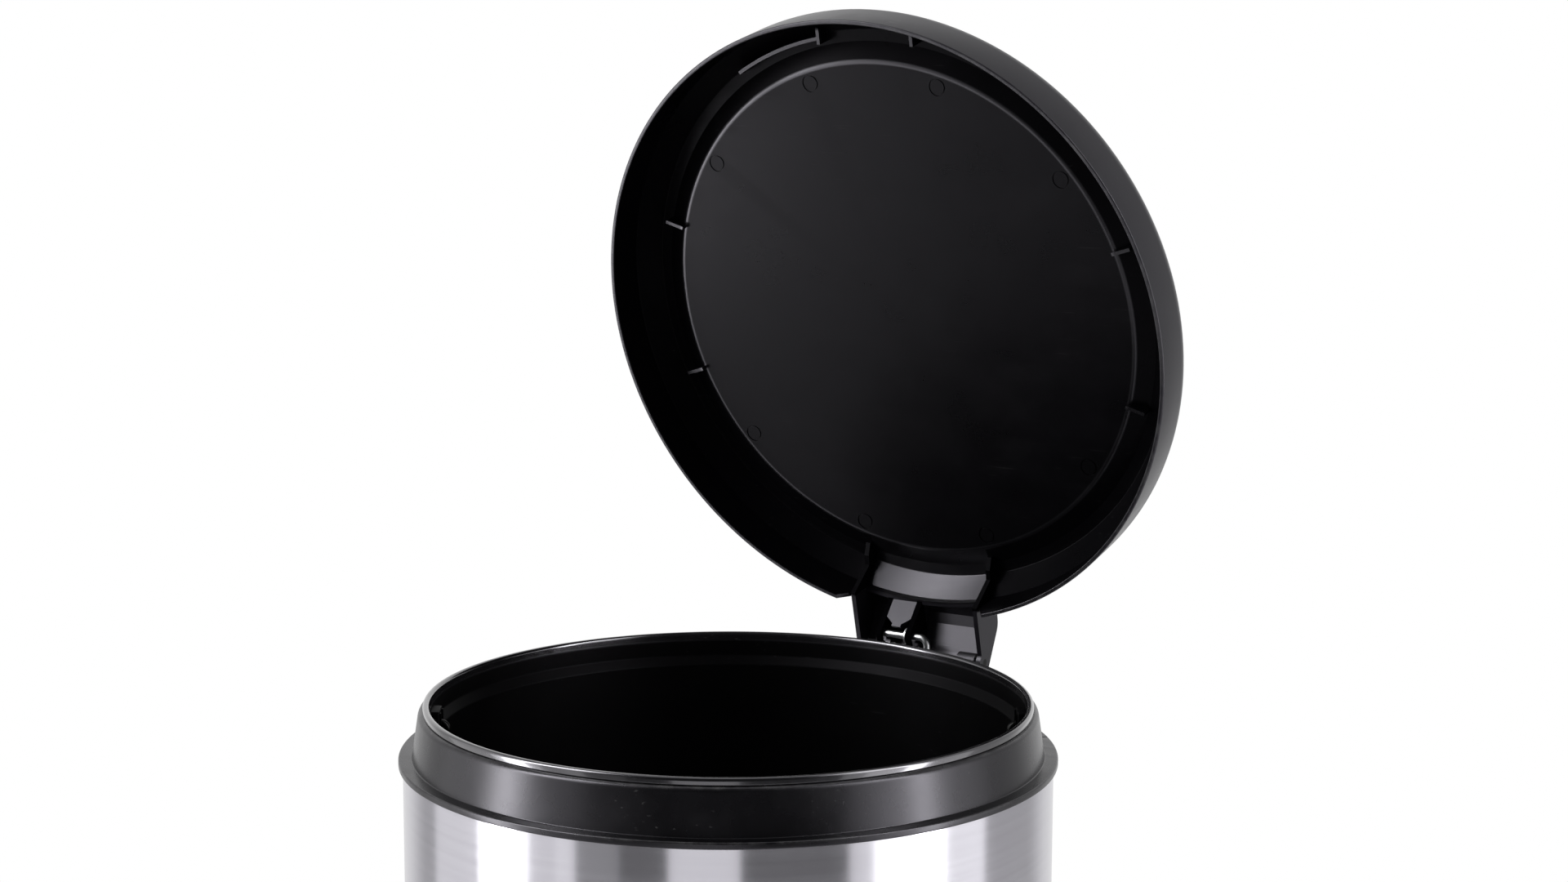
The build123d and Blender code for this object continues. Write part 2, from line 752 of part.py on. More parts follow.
# Hinge housing: a box open to the steel body, with two knuckles on its deck
housing_foot = flange_top - housing_depth
housing_front = body_radius - housing_half / 2
with BuildPart() as hinge_housing:
    with BuildSketch(Plane.YZ):
        with BuildLine():
            Polyline(
                (housing_front, deck_z),
                (housing_back, deck_z),
                (housing_back, housing_foot + housing_chamfer),
                (housing_back - housing_chamfer, housing_foot),
                (housing_front, housing_foot),
                close=True,
            )
        make_face()
    extrude(amount=housing_half, both=True)
    back_edges = hinge_housing.edges().filter_by(Axis.Z).group_by(Axis.Y)[-1]
    fillet(back_edges, radius=housing_round)
    with BuildSketch(Plane.YZ):
        with BuildLine():
            Polyline(
                (housing_front, deck_z - housing_wall),
                (housing_back - housing_wall, deck_z - housing_wall),
                (housing_back - housing_wall, housing_foot + housing_chamfer + housing_wall / 2),
                (housing_back - housing_chamfer - housing_wall / 2, housing_foot + housing_wall),
                (housing_front, housing_foot + housing_wall),
                close=True,
            )
        make_face()
    extrude(amount=housing_half - housing_wall, both=True, mode=Mode.SUBTRACT)
    with BuildSketch(Plane.XZ.offset(-body_radius)):
        with Locations((0, flange_top - housing_screw_drop)):
            with GridLocations(2 * housing_screw_x, 1, 2, 1):
                Circle(housing_boss_radius)
    extrude(amount=-(housing_back - 2 * housing_wall - body_radius))
    with BuildSketch(Plane.XY.offset(housing_foot)):
        Circle(body_radius + slip)
    extrude(amount=housing_depth, mode=Mode.SUBTRACT)
    with BuildSketch(Plane.XZ.offset(-body_radius / 2)):
        with Locations((0, flange_top - housing_screw_drop)):
            with GridLocations(2 * housing_screw_x, 1, 2, 1):
                Circle(screw_radius)
    extrude(amount=-(body_radius / 2 + housing_screw_length), mode=Mode.SUBTRACT)
    with BuildSketch(Plane.XY.offset(deck_z)):
        with Locations((rod_x, rod_top_y)):
            Circle(rod_radius + 2 * loose)
    extrude(amount=-housing_wall, mode=Mode.SUBTRACT)
    for left in (-knuckle_outer, knuckle_inner):
        with BuildSketch(Plane.YZ.offset(left)):
            with Locations((hinge_y, (deck_z - housing_wall / 2 + hinge_z) / 2)):
                Rectangle(2 * knuckle_radius, hinge_z - deck_z + housing_wall / 2)
            with Locations((hinge_y, hinge_z)):
                Circle(knuckle_radius)
                Circle(hinge_pin_radius + slip, mode=Mode.SUBTRACT)
        extrude(amount=knuckle_outer - knuckle_inner)
hinge_housing.part.label = "hinge_housing"
export_step(hinge_housing.part, "parts/hinge_housing.step")

# Two screws from inside the steel into the housing's bosses
head_y = sqrt(tube_inside ** 2 - (housing_screw_x + screw_head_radius) ** 2)
with BuildPart() as housing_screws:
    for radius, length in (
        (screw_radius, -housing_screw_length),
        (screw_head_radius, screw_head_height),
    ):
        with BuildSketch(Plane.XZ.offset(-head_y)):
            with Locations((0, flange_top - housing_screw_drop)):
                with GridLocations(2 * housing_screw_x, 1, 2, 1):
                    Circle(radius)
        extrude(amount=length)
housing_screws.part.label = "housing_screws"
export_step(housing_screws.part, "parts/housing_screws.step")

# Pedal lever: a channel under the floor with the pedal plate in front and an eye behind
web_z = lever_up - lever_sheet
with BuildPart() as pedal_lever:
    with BuildSketch(lever_side):
        with Locations(((lever_back - lever_front) / 2, (lever_up - lever_down) / 2)):
            Rectangle(lever_front + lever_back, lever_up + lever_down)
    extrude(amount=lever_half, both=True)
    with BuildSketch(lever_side):
        with Locations(((lever_back - lever_front) / 2, web_z - lever_down)):
            Rectangle(lever_front + lever_back, 2 * lever_down)
    extrude(amount=lever_half - lever_sheet, both=True, mode=Mode.SUBTRACT)
    with BuildSketch(lever_level.offset(web_z)):
        with Locations((0, -(lever_front + pedal_reach) / 2)):
            Rectangle(2 * tongue_half, pedal_reach - lever_front + lever_sheet)
        with Locations((0, -pedal_reach)):
            RectangleRounded(2 * pedal_half_width, 2 * pedal_half_depth, rivet_head_radius)
    extrude(amount=lever_sheet)
    with BuildSketch(lever_side.offset(-eye_half)):
        with Locations(((lever_back + rear_arm) / 2 - eye_radius, 0)):
            Rectangle(rear_arm - lever_back + 2 * eye_radius, 2 * eye_radius)
        with Locations((rear_arm, 0)):
            Circle(eye_radius)
            Circle(rod_radius + loose, mode=Mode.SUBTRACT)
    extrude(amount=2 * eye_half)
    with BuildSketch(lever_side):
        Circle(pivot_radius + slip)
    extrude(amount=lever_half, both=True, mode=Mode.SUBTRACT)
    with BuildSketch(lever_level.offset(web_z)):
        with Locations((0, -pedal_reach)):
            with GridLocations(2 * rivet_x, 1, 2, 1):
                Circle(rivet_radius)
    extrude(amount=lever_sheet, mode=Mode.SUBTRACT)
pedal_lever.part.label = "pedal_lever"
export_step(pedal_lever.part, "parts/pedal_lever.step")

# Pedal pad: rubber block with grooves, and two rivets through it
pad_half_width = pedal_half_width + pad_margin
pad_half_depth = pedal_half_depth + pad_margin
with BuildPart() as pedal_pad:
    with BuildSketch(lever_level.offset(lever_up)):
        with Locations((0, -pedal_reach)):
            RectangleRounded(2 * pad_half_width, 2 * pad_half_depth, rivet_head_radius + pad_margin)
            with GridLocations(2 * rivet_x, 1, 2, 1):
                Circle(rivet_radius, mode=Mode.SUBTRACT)
    extrude(amount=pad_thick)
    with BuildSketch(lever_level.offset(lever_up + pad_thick)):
        with Locations((0, -pedal_reach)):
            with GridLocations(1, 4 * pad_groove, 1, 5):
                Rectangle(2 * pad_half_width, pad_groove)
            with GridLocations(2 * rivet_x, 1, 2, 1):
                Circle(rivet_head_radius + loose)
    extrude(amount=-pad_groove, mode=Mode.SUBTRACT)
pedal_pad.part.label = "pedal_pad"
export_step(pedal_pad.part, "parts/pedal_pad.step")

rivet_seat = lever_up + pad_thick - pad_groove
with BuildPart() as pad_rivets:
    for foot, radius, top in (
        (web_z - pad_groove / 2, rivet_head_radius, web_z),
        (web_z, rivet_radius, rivet_seat),
        (rivet_seat, rivet_head_radius, rivet_seat + pad_groove / 2),
    ):
        with BuildSketch(lever_level.offset(foot)):
            with Locations((0, -pedal_reach)):
                with GridLocations(2 * rivet_x, 1, 2, 1):
                    Circle(radius)
        extrude(amount=top - foot)
pad_rivets.part.label = "pad_rivets"
export_step(pad_rivets.part, "parts/pad_rivets.step")

# Bracket: folded steel under the floor with two ears for the lever's pin
ear_inner = lever_half + bracket_gap
ear_outer = ear_inner + bracket_sheet
plate_bottom = bracket_plate_top - bracket_sheet
with BuildPart() as pivot_bracket:
    with BuildSketch(Plane.YZ):
        with Locations((pivot_y, pivot_height)):
            Circle(pivot_radius + 2 * bracket_sheet)
        with Locations((pivot_y, bracket_plate_top - bracket_sheet / 2)):
            Rectangle(2 * bracket_half_y, bracket_sheet)
        make_hull()
        with Locations((pivot_y, pivot_height)):
            Circle(pivot_radius, mode=Mode.SUBTRACT)
    extrude(amount=ear_outer, both=True)
    with Locations((0, pivot_y, plate_bottom - pivot_height)):
        Box(2 * ear_inner, 4 * bracket_half_y, 2 * pivot_height, mode=Mode.SUBTRACT)
    with BuildSketch(Plane.XY.offset(plate_bottom)):
        with Locations((0, pivot_y)):
            RectangleRounded(2 * bracket_half_x, 2 * bracket_half_y, bracket_sheet)
            with GridLocations(bracket_screw_x, bracket_screw_y, 2, 2):
                Circle(screw_radius, mode=Mode.SUBTRACT)
    extrude(amount=bracket_sheet)
pivot_bracket.part.label = "pivot_bracket"
export_step(pivot_bracket.part, "parts/pivot_bracket.step")

# Screws of the bracket
with BuildPart() as bracket_screws:
    for foot, radius, top in (
        (plate_bottom - screw_head_height, screw_head_radius, plate_bottom),
        (plate_bottom, screw_radius, bracket_plate_top + screw_length),
    ):
        with BuildSketch(Plane.XY.offset(foot)):
            with Locations((0, pivot_y)):
                with GridLocations(bracket_screw_x, bracket_screw_y, 2, 2):
                    Circle(radius)
        extrude(amount=top - foot)
bracket_screws.part.label = "bracket_screws"
export_step(bracket_screws.part, "parts/bracket_screws.step")

# Pin of the lever and the push-on clips at its ends
with BuildPart() as lever_pivot_pin:
    with BuildSketch(Plane.YZ):
        with Locations((pivot_y, pivot_height)):
            Circle(pivot_radius)
    extrude(amount=pivot_reach, both=True)
    chamfer(lever_pivot_pin.edges().filter_by(GeomType.CIRCLE), length=pivot_radius / 5)
lever_pivot_pin.part.label = "lever_pivot_pin"
export_step(lever_pivot_pin.part, "parts/lever_pivot_pin.step")

with BuildPart() as pivot_clips:
    for left in (-ear_outer - clip_thick, ear_outer):
        with BuildSketch(Plane.YZ.offset(left)):
            with Locations((pivot_y, pivot_height)):
                Circle(clip_radius + pivot_radius / 5)
                Circle(pivot_radius, mode=Mode.SUBTRACT)
        extrude(amount=clip_thick)
pivot_clips.part.label = "pivot_clips"
export_step(pivot_clips.part, "parts/pivot_clips.step")

# Push rod: bent wire from the lever's eye, up inside the body, out at the back, into the arm
with BuildPart() as push_rod:
    with BuildLine() as rod_path:
        FilletPolyline(
            (-rod_foot_reach, rod_y, rod_foot_z),
            (rod_x, rod_y, rod_foot_z),
            (rod_x, rod_y, flange_top - jog_low_drop),
            (rod_x, rod_top_y, flange_top - jog_high_drop),
            (rod_x, rod_top_y, rod_top_z),
            (rod_top_end, rod_top_y, rod_top_z),
            radius=rod_bend,
        )
    with BuildSketch(Plane(origin=rod_path.line @ 0, z_dir=rod_path.line % 0)):
        Circle(rod_radius)
    sweep()
push_rod.part.label = "push_rod"
export_step(push_rod.part, "parts/push_rod.step")

# Push-on washer that keeps the rod's top leg in the arm
with BuildPart() as rod_clip:
    with BuildSketch(Plane.YZ.offset(web_middle - side_gap - clip_thick)):
        with Locations((rod_top_y, rod_top_z)):
            Circle(clip_radius)
            Circle(rod_radius, mode=Mode.SUBTRACT)
    extrude(amount=clip_thick)
rod_clip.part.label = "rod_clip"
export_step(rod_clip.part, "parts/rod_clip.step")

# Rod guides on the inside of the steel
with BuildPart() as rod_guides:
    for height in guide_heights:
        with BuildSketch(Plane.XY.offset(height)):
            with Locations((rod_x, (rod_y + body_radius) / 2)):
                Rectangle(2 * guide_half, body_radius - rod_y + guide_half)
            Circle(tube_inside, mode=Mode.INTERSECT)
            with Locations((rod_x, rod_y)):
                Circle(rod_radius + loose, mode=Mode.SUBTRACT)
        extrude(amount=guide_height)
rod_guides.part.label = "rod_guides"
export_step(rod_guides.part, "parts/rod_guides.step")
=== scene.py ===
# %% [markdown]
# A round step bin with its lid held open
#
# This file dresses a CAD model of a step bin for a studio picture. The CAD model stays as it is
# and carries the motion. Here each visible part gets its real roundings and its own finish.
# It is written as a lesson: a cell of words comes first, and then a short cell of code.
# The first code cell loads the CAD model, whose parts sit at the origin in metres.

# %% Loading the frame
import bpy
import math
from mathutils import Matrix, Vector


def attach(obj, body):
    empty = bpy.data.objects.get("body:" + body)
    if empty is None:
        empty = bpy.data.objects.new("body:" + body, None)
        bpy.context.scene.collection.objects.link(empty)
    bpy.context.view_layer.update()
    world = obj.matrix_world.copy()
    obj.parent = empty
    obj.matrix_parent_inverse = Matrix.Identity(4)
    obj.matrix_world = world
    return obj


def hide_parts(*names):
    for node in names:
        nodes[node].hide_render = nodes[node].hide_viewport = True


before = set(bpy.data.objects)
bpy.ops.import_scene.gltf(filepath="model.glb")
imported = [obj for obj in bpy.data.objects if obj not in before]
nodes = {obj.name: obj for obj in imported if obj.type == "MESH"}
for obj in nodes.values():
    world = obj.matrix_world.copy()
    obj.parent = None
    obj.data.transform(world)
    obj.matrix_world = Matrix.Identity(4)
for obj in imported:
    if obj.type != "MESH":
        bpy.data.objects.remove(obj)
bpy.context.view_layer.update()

MM = 0.001

# %% [markdown]
# The camera
#
# The picture was taken a little above the rim, from the front and to the right of the bin, with
# a fairly long lens. A camera can be aimed by constraints or by hand. Here its three axes are
# written out, because then the angle round the bin, the height and the small tilt are each one
# number that can be corrected after a look at the render.

# %% Camera
rim_centre = Vector((0, 0, 610)) * MM
camera_turn = math.radians(32.4)
camera_rise = math.radians(9.1)
camera_roll = math.radians(0.18)
camera_lens = 70.65
camera_distance = 1.3785
camera_shift_right = 0.0243
camera_shift_up = 0.1380

backward = Vector((
    math.sin(camera_turn) * math.cos(camera_rise),
    -math.cos(camera_turn) * math.cos(camera_rise),
    math.sin(camera_rise),
))
level_right = Vector((math.cos(camera_turn), math.sin(camera_turn), 0))
level_up = backward.cross(level_right)
tilted_right = math.cos(camera_roll) * level_right + math.sin(camera_roll) * level_up
tilted_up = math.cos(camera_roll) * level_up - math.sin(camera_roll) * level_right

camera = bpy.data.objects.new("camera", bpy.data.cameras.new("camera"))
bpy.context.scene.collection.objects.link(camera)
bpy.context.scene.camera = camera
camera.data.lens = camera_lens
camera.data.sensor_width = 36.0
camera.data.clip_start = 0.05
camera.data.clip_end = 60.0
place = Matrix((tilted_right, tilted_up, backward)).transposed().to_4x4()
place.translation = (
    rim_centre
    + backward * camera_distance
    + level_right * camera_shift_right
    + level_up * camera_shift_up
)
camera.matrix_world = place
bpy.context.scene.view_settings.view_transform = "Standard"
print("camera stands at", [round(v, 3) for v in place.translation])

# %% [markdown]
# Small helpers for shader nodes
#
# A material is a graph of nodes. Building it by hand in the Shader Editor is quick for one, but
# here several finishes share the same effects, so two helpers add a node and join its sockets.
# A value that is a socket becomes a link, and any other value is typed into the socket.


# %% Node helpers
def put(tree, kind, sockets=None, **settings):
    """Adds a node, sets its options, and fills or links its input sockets."""
    node = tree.nodes.new(kind)
    for option, value in settings.items():
        setattr(node, option, value)
    for socket, value in (sockets or {}).items():
        if isinstance(value, bpy.types.NodeSocket):
            tree.links.new(value, node.inputs[socket])
        else:
            node.inputs[socket].default_value = value
    return node


def calc(tree, operation, *values, clamp=False):
    """A Math node's result."""
    node = put(tree, "ShaderNodeMath", dict(enumerate(values)), operation=operation)
    node.use_clamp = clamp
    return node.outputs[0]


def spread(tree, value, low, high, new_low=0.0, new_high=1.0):
    """A smooth step of a value from one range to another."""
    node = put(tree, "ShaderNodeMapRange", interpolation_type="SMOOTHSTEP")
    tree.links.new(value, node.inputs["Value"])
    for socket, number in (
        ("From Min", low), ("From Max", high), ("To Min", new_low), ("To Max", new_high),
    ):
        if isinstance(number, bpy.types.NodeSocket):
            tree.links.new(number, node.inputs[socket])
        else:
            node.inputs[socket].default_value = number
    return node.outputs["Result"]


def noise(tree, vector, scale, detail=3.0, roughness=0.5):
    """A Noise Texture's value on a vector."""
    sockets = {"Vector": vector, "Scale": scale, "Detail": detail, "Roughness": roughness}
    return put(tree, "ShaderNodeTexNoise", sockets).outputs[0]


def tint(tree, factor, first, second):
    """Two colours mixed by a factor."""
    node = put(tree, "ShaderNodeMix", data_type="RGBA", blend_type="MIX")
    for socket, value in ((0, factor), (6, first), (7, second)):
        if isinstance(value, bpy.types.NodeSocket):
            tree.links.new(value, node.inputs[socket])
        else:
            node.inputs[socket].default_value = value
    return node.outputs[2]


def grey(level, blue=0.0):
    """A grey with an optional lean to blue, as RGBA."""
    return (level, level * (1 - blue / 3), level * (1 + blue), 1.0)


print("node helpers are ready")

# %% [markdown]
# The floor and the air round it
#
# The bin stands on a plain pale floor in front of white. One way is a big curved backdrop, but
# its reflection would fill the steel. So the floor is a small disc that fades to white at its
# edge, and the world is white where the camera, a mirror or glass looks at it from the front.
# For soft fill light the world is only a mid grey, which keeps the shadow under the bin.

# %% Floor
floor_radius = 1.5
bpy.ops.object.select_all(action="DESELECT")
bpy.ops.mesh.primitive_circle_add(vertices=128, radius=floor_radius, fill_type="NGON")
floor = bpy.context.object
floor.name = "studio_floor"
floor_paint = bpy.data.materials.new("floor_paint")
floor_paint.use_nodes = True
tree = floor_paint.node_tree
tree.nodes.clear()
spot = put(tree, "ShaderNodeTexCoord").outputs["Object"]
from_middle = put(tree, "ShaderNodeVectorMath", {0: spot}, operation="LENGTH").outputs["Value"]
fade = spread(tree, from_middle, 0.45, floor_radius)
paint = put(tree, "ShaderNodeBsdfDiffuse", {"Color": (0.80, 0.80, 0.81, 1.0)})
glow = put(tree, "ShaderNodeEmission", {"Color": (1, 1, 1, 1), "Strength": 1.0})
sum_up = put(tree, "ShaderNodeMixShader", {0: fade, 1: paint.outputs[0], 2: glow.outputs[0]})
put(tree, "ShaderNodeOutputMaterial", {"Surface": sum_up.outputs[0]})
floor.data.materials.append(floor_paint)
print("floor radius", floor_radius)

# %% World
world = bpy.data.worlds.new("studio_air")
bpy.context.scene.world = world
world.use_nodes = True
tree = world.node_tree
tree.nodes.clear()
ray = put(tree, "ShaderNodeLightPath")
heading = put(tree, "ShaderNodeTexCoord").outputs["Generated"]
camera_side = (math.sin(camera_turn), -math.cos(camera_turn), 0.0)
towards = put(
    tree, "ShaderNodeVectorMath", {0: heading, 1: camera_side}, operation="DOT_PRODUCT"
).outputs["Value"]
rise = put(tree, "ShaderNodeSeparateXYZ", {0: heading}).outputs["Z"]
far_side = spread(tree, towards, -0.85, -0.60, 0.85, 0.50)
near_side = spread(tree, rise, -0.06, 0.10, 0.09, 0.02)
mirrored = put(
    tree, "ShaderNodeMix", {0: spread(tree, towards, -0.25, 0.45), 2: far_side, 3: near_side},
    data_type="FLOAT",
).outputs[0]
clear_view = calc(tree, "MAXIMUM", ray.outputs["Is Camera Ray"], ray.outputs["Is Transmission Ray"])
seen = put(
    tree, "ShaderNodeMix",
    {0: ray.outputs["Is Glossy Ray"], 2: 0.36, 3: mirrored}, data_type="FLOAT",
).outputs[0]
strength = put(tree, "ShaderNodeMix", {0: clear_view, 2: seen, 3: 1.0}, data_type="FLOAT").outputs[0]
air = put(tree, "ShaderNodeBackground", {"Color": (1, 1, 1, 1), "Strength": strength})
put(tree, "ShaderNodeOutputWorld", {"Surface": air.outputs[0]})
print("world is white for the camera and grey for fill light")

# %% [markdown]
# The softboxes
#
# Brushed metal shows its surroundings, so the lamps are placed by what the steel reflects. At the
# right and at the left stands a tall narrow lamp, very bright, in front of wide soft panels that
# fade its sides. Two lamps hang high above them, where only the round lips and shoulders of the
# plastic see them. A weak panel and a fill run on from the left one towards the camera, and a low
# strip stands beside the camera. Each is an area light whose brightness is given as seen in a
# mirror, and the watts follow from its area.


# %% Softboxes
def softbox(name, bearing, width, tall, middle, distance, brightness):
    """An area light at a bearing from the camera's direction, which faces the bin."""
    lamp = bpy.data.lights.new(name, "AREA")
    lamp.shape = "RECTANGLE"
    lamp.size = width
    lamp.size_y = tall
    lamp.energy = brightness * math.pi * width * tall
    holder = bpy.data.objects.new(name, lamp)
    bpy.context.scene.collection.objects.link(holder)
    angle = camera_turn + math.radians(bearing)
    outward = Vector((math.sin(angle), -math.cos(angle), 0))
    holder.location = outward * distance + Vector((0, 0, middle))
    holder.rotation_euler = outward.to_track_quat("Z", "Y").to_euler()
    holder.visible_camera = False
    return holder


for name, bearing, width, tall, middle, distance, brightness in (
    ("core_right", 71.0, 0.34, 5.2, 2.2, 2.15, 8.0),
    ("panel_right", 64.0, 1.08, 2.6, 0.9, 2.2, 1.4),
    ("panel_right_wide", 70.0, 2.45, 2.6, 0.9, 2.25, 0.95),
    ("high_right", 60.0, 0.80, 2.4, 2.9, 2.1, 3.6),
    ("core_left", -81.0, 0.40, 5.0, 2.1, 2.15, 11.0),
    ("high_left", -72.0, 1.10, 2.4, 2.9, 2.1, 5.0),
    ("panel_left", -81.0, 0.92, 2.6, 0.9, 2.2, 2.0),
    ("panel_left_rear", -107.0, 0.95, 2.6, 0.9, 2.2, 0.50),
    ("panel_left_weak", -60.0, 0.70, 2.4, 0.9, 2.25, 0.85),
    ("panel_left_fill", -47.0, 0.95, 2.4, 0.9, 2.3, 0.22),
    ("strip_camera", -7.0, 1.06, 1.1, -0.1, 2.5, 0.95),
):
    softbox(name, bearing, width, tall, middle, distance, brightness)
top_box = softbox("panel_top", 180.0, 2.4, 1.2, 3.0, 0.4, 0.35)
top_box.rotation_euler = (0, 0, camera_turn)

# %% [markdown]
# Shared surface effects
#
# Moulded plastic has a fine skin, hands leave duller patches, dust settles on what faces up, and
# rims wear bright where they are touched. Each effect is a node group with named sockets, built
# once. It gives out only masks and heights, and every material sets its own strength. All the
# finishes begin and end alike, so they share two more helpers.


# %% Finish helpers
def new_finish(name):
    """A new material, its nodes, its shader and the object's own coordinates."""
    made = bpy.data.materials.new(name)
    made.use_nodes = True
    tree = made.node_tree
    where = put(tree, "ShaderNodeTexCoord").outputs["Object"]
    return made, tree, tree.nodes["Principled BSDF"], where


def raise_skin(tree, shader, strength, depth, height):
    """Bumps the surface by a height, over a depth in millimetres."""
    bump = put(
        tree, "ShaderNodeBump", {"Strength": strength, "Distance": depth * MM, "Height": height}
    )
    tree.links.new(bump.outputs["Normal"], shader.inputs["Normal"])


# %% Group maker
def new_group(name, inputs, outputs):
    """An empty shader node group with named sockets, and its two end nodes."""
    group = bpy.data.node_groups.new(name, "ShaderNodeTree")
    for socket, value in inputs:
        kind = "NodeSocketVector" if value is None else "NodeSocketFloat"
        made = group.interface.new_socket(socket, in_out="INPUT", socket_type=kind)
        if value is not None:
            made.default_value = value
    for socket in outputs:
        group.interface.new_socket(socket, in_out="OUTPUT", socket_type="NodeSocketFloat")
    start = group.nodes.new("NodeGroupInput")
    end = group.nodes.new("NodeGroupOutput")
    return group, start.outputs, end.inputs


def effect(tree, group, **values):
    """A node group placed in a material, with spaces of its socket names as underscores."""
    node = put(tree, "ShaderNodeGroup", node_tree=group)
    for socket, value in values.items():
        target = node.inputs[socket.replace("_", " ").capitalize()]
        if isinstance(value, bpy.types.NodeSocket):
            tree.links.new(value, target)
        else:
            target.default_value = value
    return node.outputs


# %% Moulded grain
moulded_grain, given, result = new_group(
    "Moulded grain", [("Vector", None), ("Size", 1.0)], ["Height", "Tone"]
)
fine = noise(moulded_grain, given["Vector"], calc(moulded_grain, "DIVIDE", 2600.0, given["Size"]), 2.0)
pebble = put(
    moulded_grain, "ShaderNodeTexVoronoi",
    {"Vector": given["Vector"], "Scale": calc(moulded_grain, "DIVIDE", 1500.0, given["Size"])},
    feature="SMOOTH_F1",
).outputs["Distance"]
broad = noise(moulded_grain, given["Vector"], 45.0, 4.0, 0.6)
skin = calc(moulded_grain, "ADD", calc(moulded_grain, "MULTIPLY", fine, 0.45), pebble)
moulded_grain.links.new(skin, result["Height"])
moulded_grain.links.new(spread(moulded_grain, broad, 0.3, 0.7), result["Tone"])
print("group", moulded_grain.name)

# %% Handling marks
handling, given, result = new_group(
    "Handling marks", [("Vector", None), ("Size", 1.0)], ["Smear", "Scratch"]
)
patches = noise(handling, given["Vector"], calc(handling, "DIVIDE", 16.0, given["Size"]), 5.0, 0.62)
streaks = put(
    handling, "ShaderNodeMapping", {"Vector": given["Vector"], "Scale": (9.0, 60.0, 25.0)}
)
streaks.inputs["Rotation"].default_value = (0.3, 0.5, 0.9)
drawn = noise(handling, streaks.outputs[0], calc(handling, "DIVIDE", 2.0, given["Size"]), 3.0)
smear = calc(handling, "MULTIPLY", spread(handling, patches, 0.42, 0.72), spread(handling, drawn, 0.3, 0.7))
lines = put(
    handling, "ShaderNodeMapping", {"Vector": given["Vector"], "Scale": (40.0, 900.0, 700.0)}
)
lines.inputs["Rotation"].default_value = (0.2, 0.1, 0.7)
hair = noise(handling, lines.outputs[0], 1.0, 1.0)
thin = calc(handling, "MULTIPLY", spread(handling, hair, 0.70, 0.76), spread(handling, patches, 0.5, 0.6))
handling.links.new(smear, result["Smear"])
handling.links.new(thin, result["Scratch"])
print("group", handling.name)

# %% Settled dust
settled_dust, given, result = new_group(
    "Settled dust", [("Vector", None), ("Amount", 0.5)], ["Mask"]
)
facing = put(settled_dust, "ShaderNodeTexCoord").outputs["Normal"]
upward = put(settled_dust, "ShaderNodeSeparateXYZ", {0: facing}).outputs["Z"]
resting = spread(settled_dust, upward, 0.1, 0.95, 0.12, 1.0)
cells = put(
    settled_dust, "ShaderNodeTexVoronoi", {"Vector": given["Vector"], "Scale": 230.0}
)
speck = spread(settled_dust, cells.outputs["Distance"], 0.05, 0.16, 1.0, 0.0)
chance = put(settled_dust, "ShaderNodeSeparateColor", {0: cells.outputs["Color"]}).outputs[0]
sparse = calc(settled_dust, "GREATER_THAN", chance, 0.86)
film = spread(settled_dust, noise(settled_dust, given["Vector"], 30.0, 5.0, 0.65), 0.45, 0.8, 0.0, 0.35)
specks = calc(settled_dust, "MULTIPLY", speck, sparse)
lying = calc(settled_dust, "MULTIPLY", calc(settled_dust, "MAXIMUM", specks, film), resting)
settled_dust.links.new(calc(settled_dust, "MULTIPLY", lying, given["Amount"]), result["Mask"])
print("group", settled_dust.name)

# %% Worn rim
worn_rim, given, result = new_group(
    "Worn rim", [("Vector", None), ("Radius", 0.1), ("Height", 0.0), ("Width", 0.002)], ["Mask"]
)
parts = put(worn_rim, "ShaderNodeSeparateXYZ", {0: given["Vector"]}).outputs
flat = put(worn_rim, "ShaderNodeCombineXYZ", {0: parts["X"], 1: parts["Y"]}).outputs[0]
away = put(worn_rim, "ShaderNodeVectorMath", {0: flat}, operation="LENGTH").outputs["Value"]
across = calc(worn_rim, "SUBTRACT", away, given["Radius"])
above = calc(worn_rim, "SUBTRACT", parts["Z"], given["Height"])
distance = calc(
    worn_rim, "SQRT",
    calc(worn_rim, "ADD", calc(worn_rim, "POWER", across, 2.0), calc(worn_rim, "POWER", above, 2.0)),
)
near = spread(worn_rim, distance, 0.0, given["Width"], 1.0, 0.0)
rubbed = spread(worn_rim, noise(worn_rim, given["Vector"], 130.0, 5.0, 0.7), 0.35, 0.75)
worn_rim.links.new(calc(worn_rim, "MULTIPLY", near, rubbed), result["Mask"])
print("group", worn_rim.name)

# %% Brushed lines
brushed_lines, given, result = new_group(
    "Brushed lines", [("Vector", None), ("Girth", 0.145)], ["Height", "Tone", "Cloud"]
)
parts = put(brushed_lines, "ShaderNodeSeparateXYZ", {0: given["Vector"]}).outputs
angle = calc(brushed_lines, "ARCTAN2", parts["Y"], parts["X"])
along = calc(brushed_lines, "MULTIPLY", angle, given["Girth"])
fine_place = put(
    brushed_lines, "ShaderNodeCombineXYZ",
    {0: calc(brushed_lines, "MULTIPLY", along, 14.0), 2: calc(brushed_lines, "MULTIPLY", parts["Z"], 2400.0)},
).outputs[0]
coarse_place = put(
    brushed_lines, "ShaderNodeCombineXYZ",
    {0: calc(brushed_lines, "MULTIPLY", along, 5.0), 2: calc(brushed_lines, "MULTIPLY", parts["Z"], 330.0)},
).outputs[0]
fine = noise(brushed_lines, fine_place, 1.0, 2.0)
coarse = noise(brushed_lines, coarse_place, 1.0, 3.0)
cloud = noise(brushed_lines, given["Vector"], 9.0, 4.0)
ridges = calc(brushed_lines, "ADD", fine, calc(brushed_lines, "MULTIPLY", coarse, 0.6))
brushed_lines.links.new(ridges, result["Height"])
brushed_lines.links.new(spread(brushed_lines, coarse, 0.25, 0.75), result["Tone"])
brushed_lines.links.new(spread(brushed_lines, cloud, 0.3, 0.7), result["Cloud"])
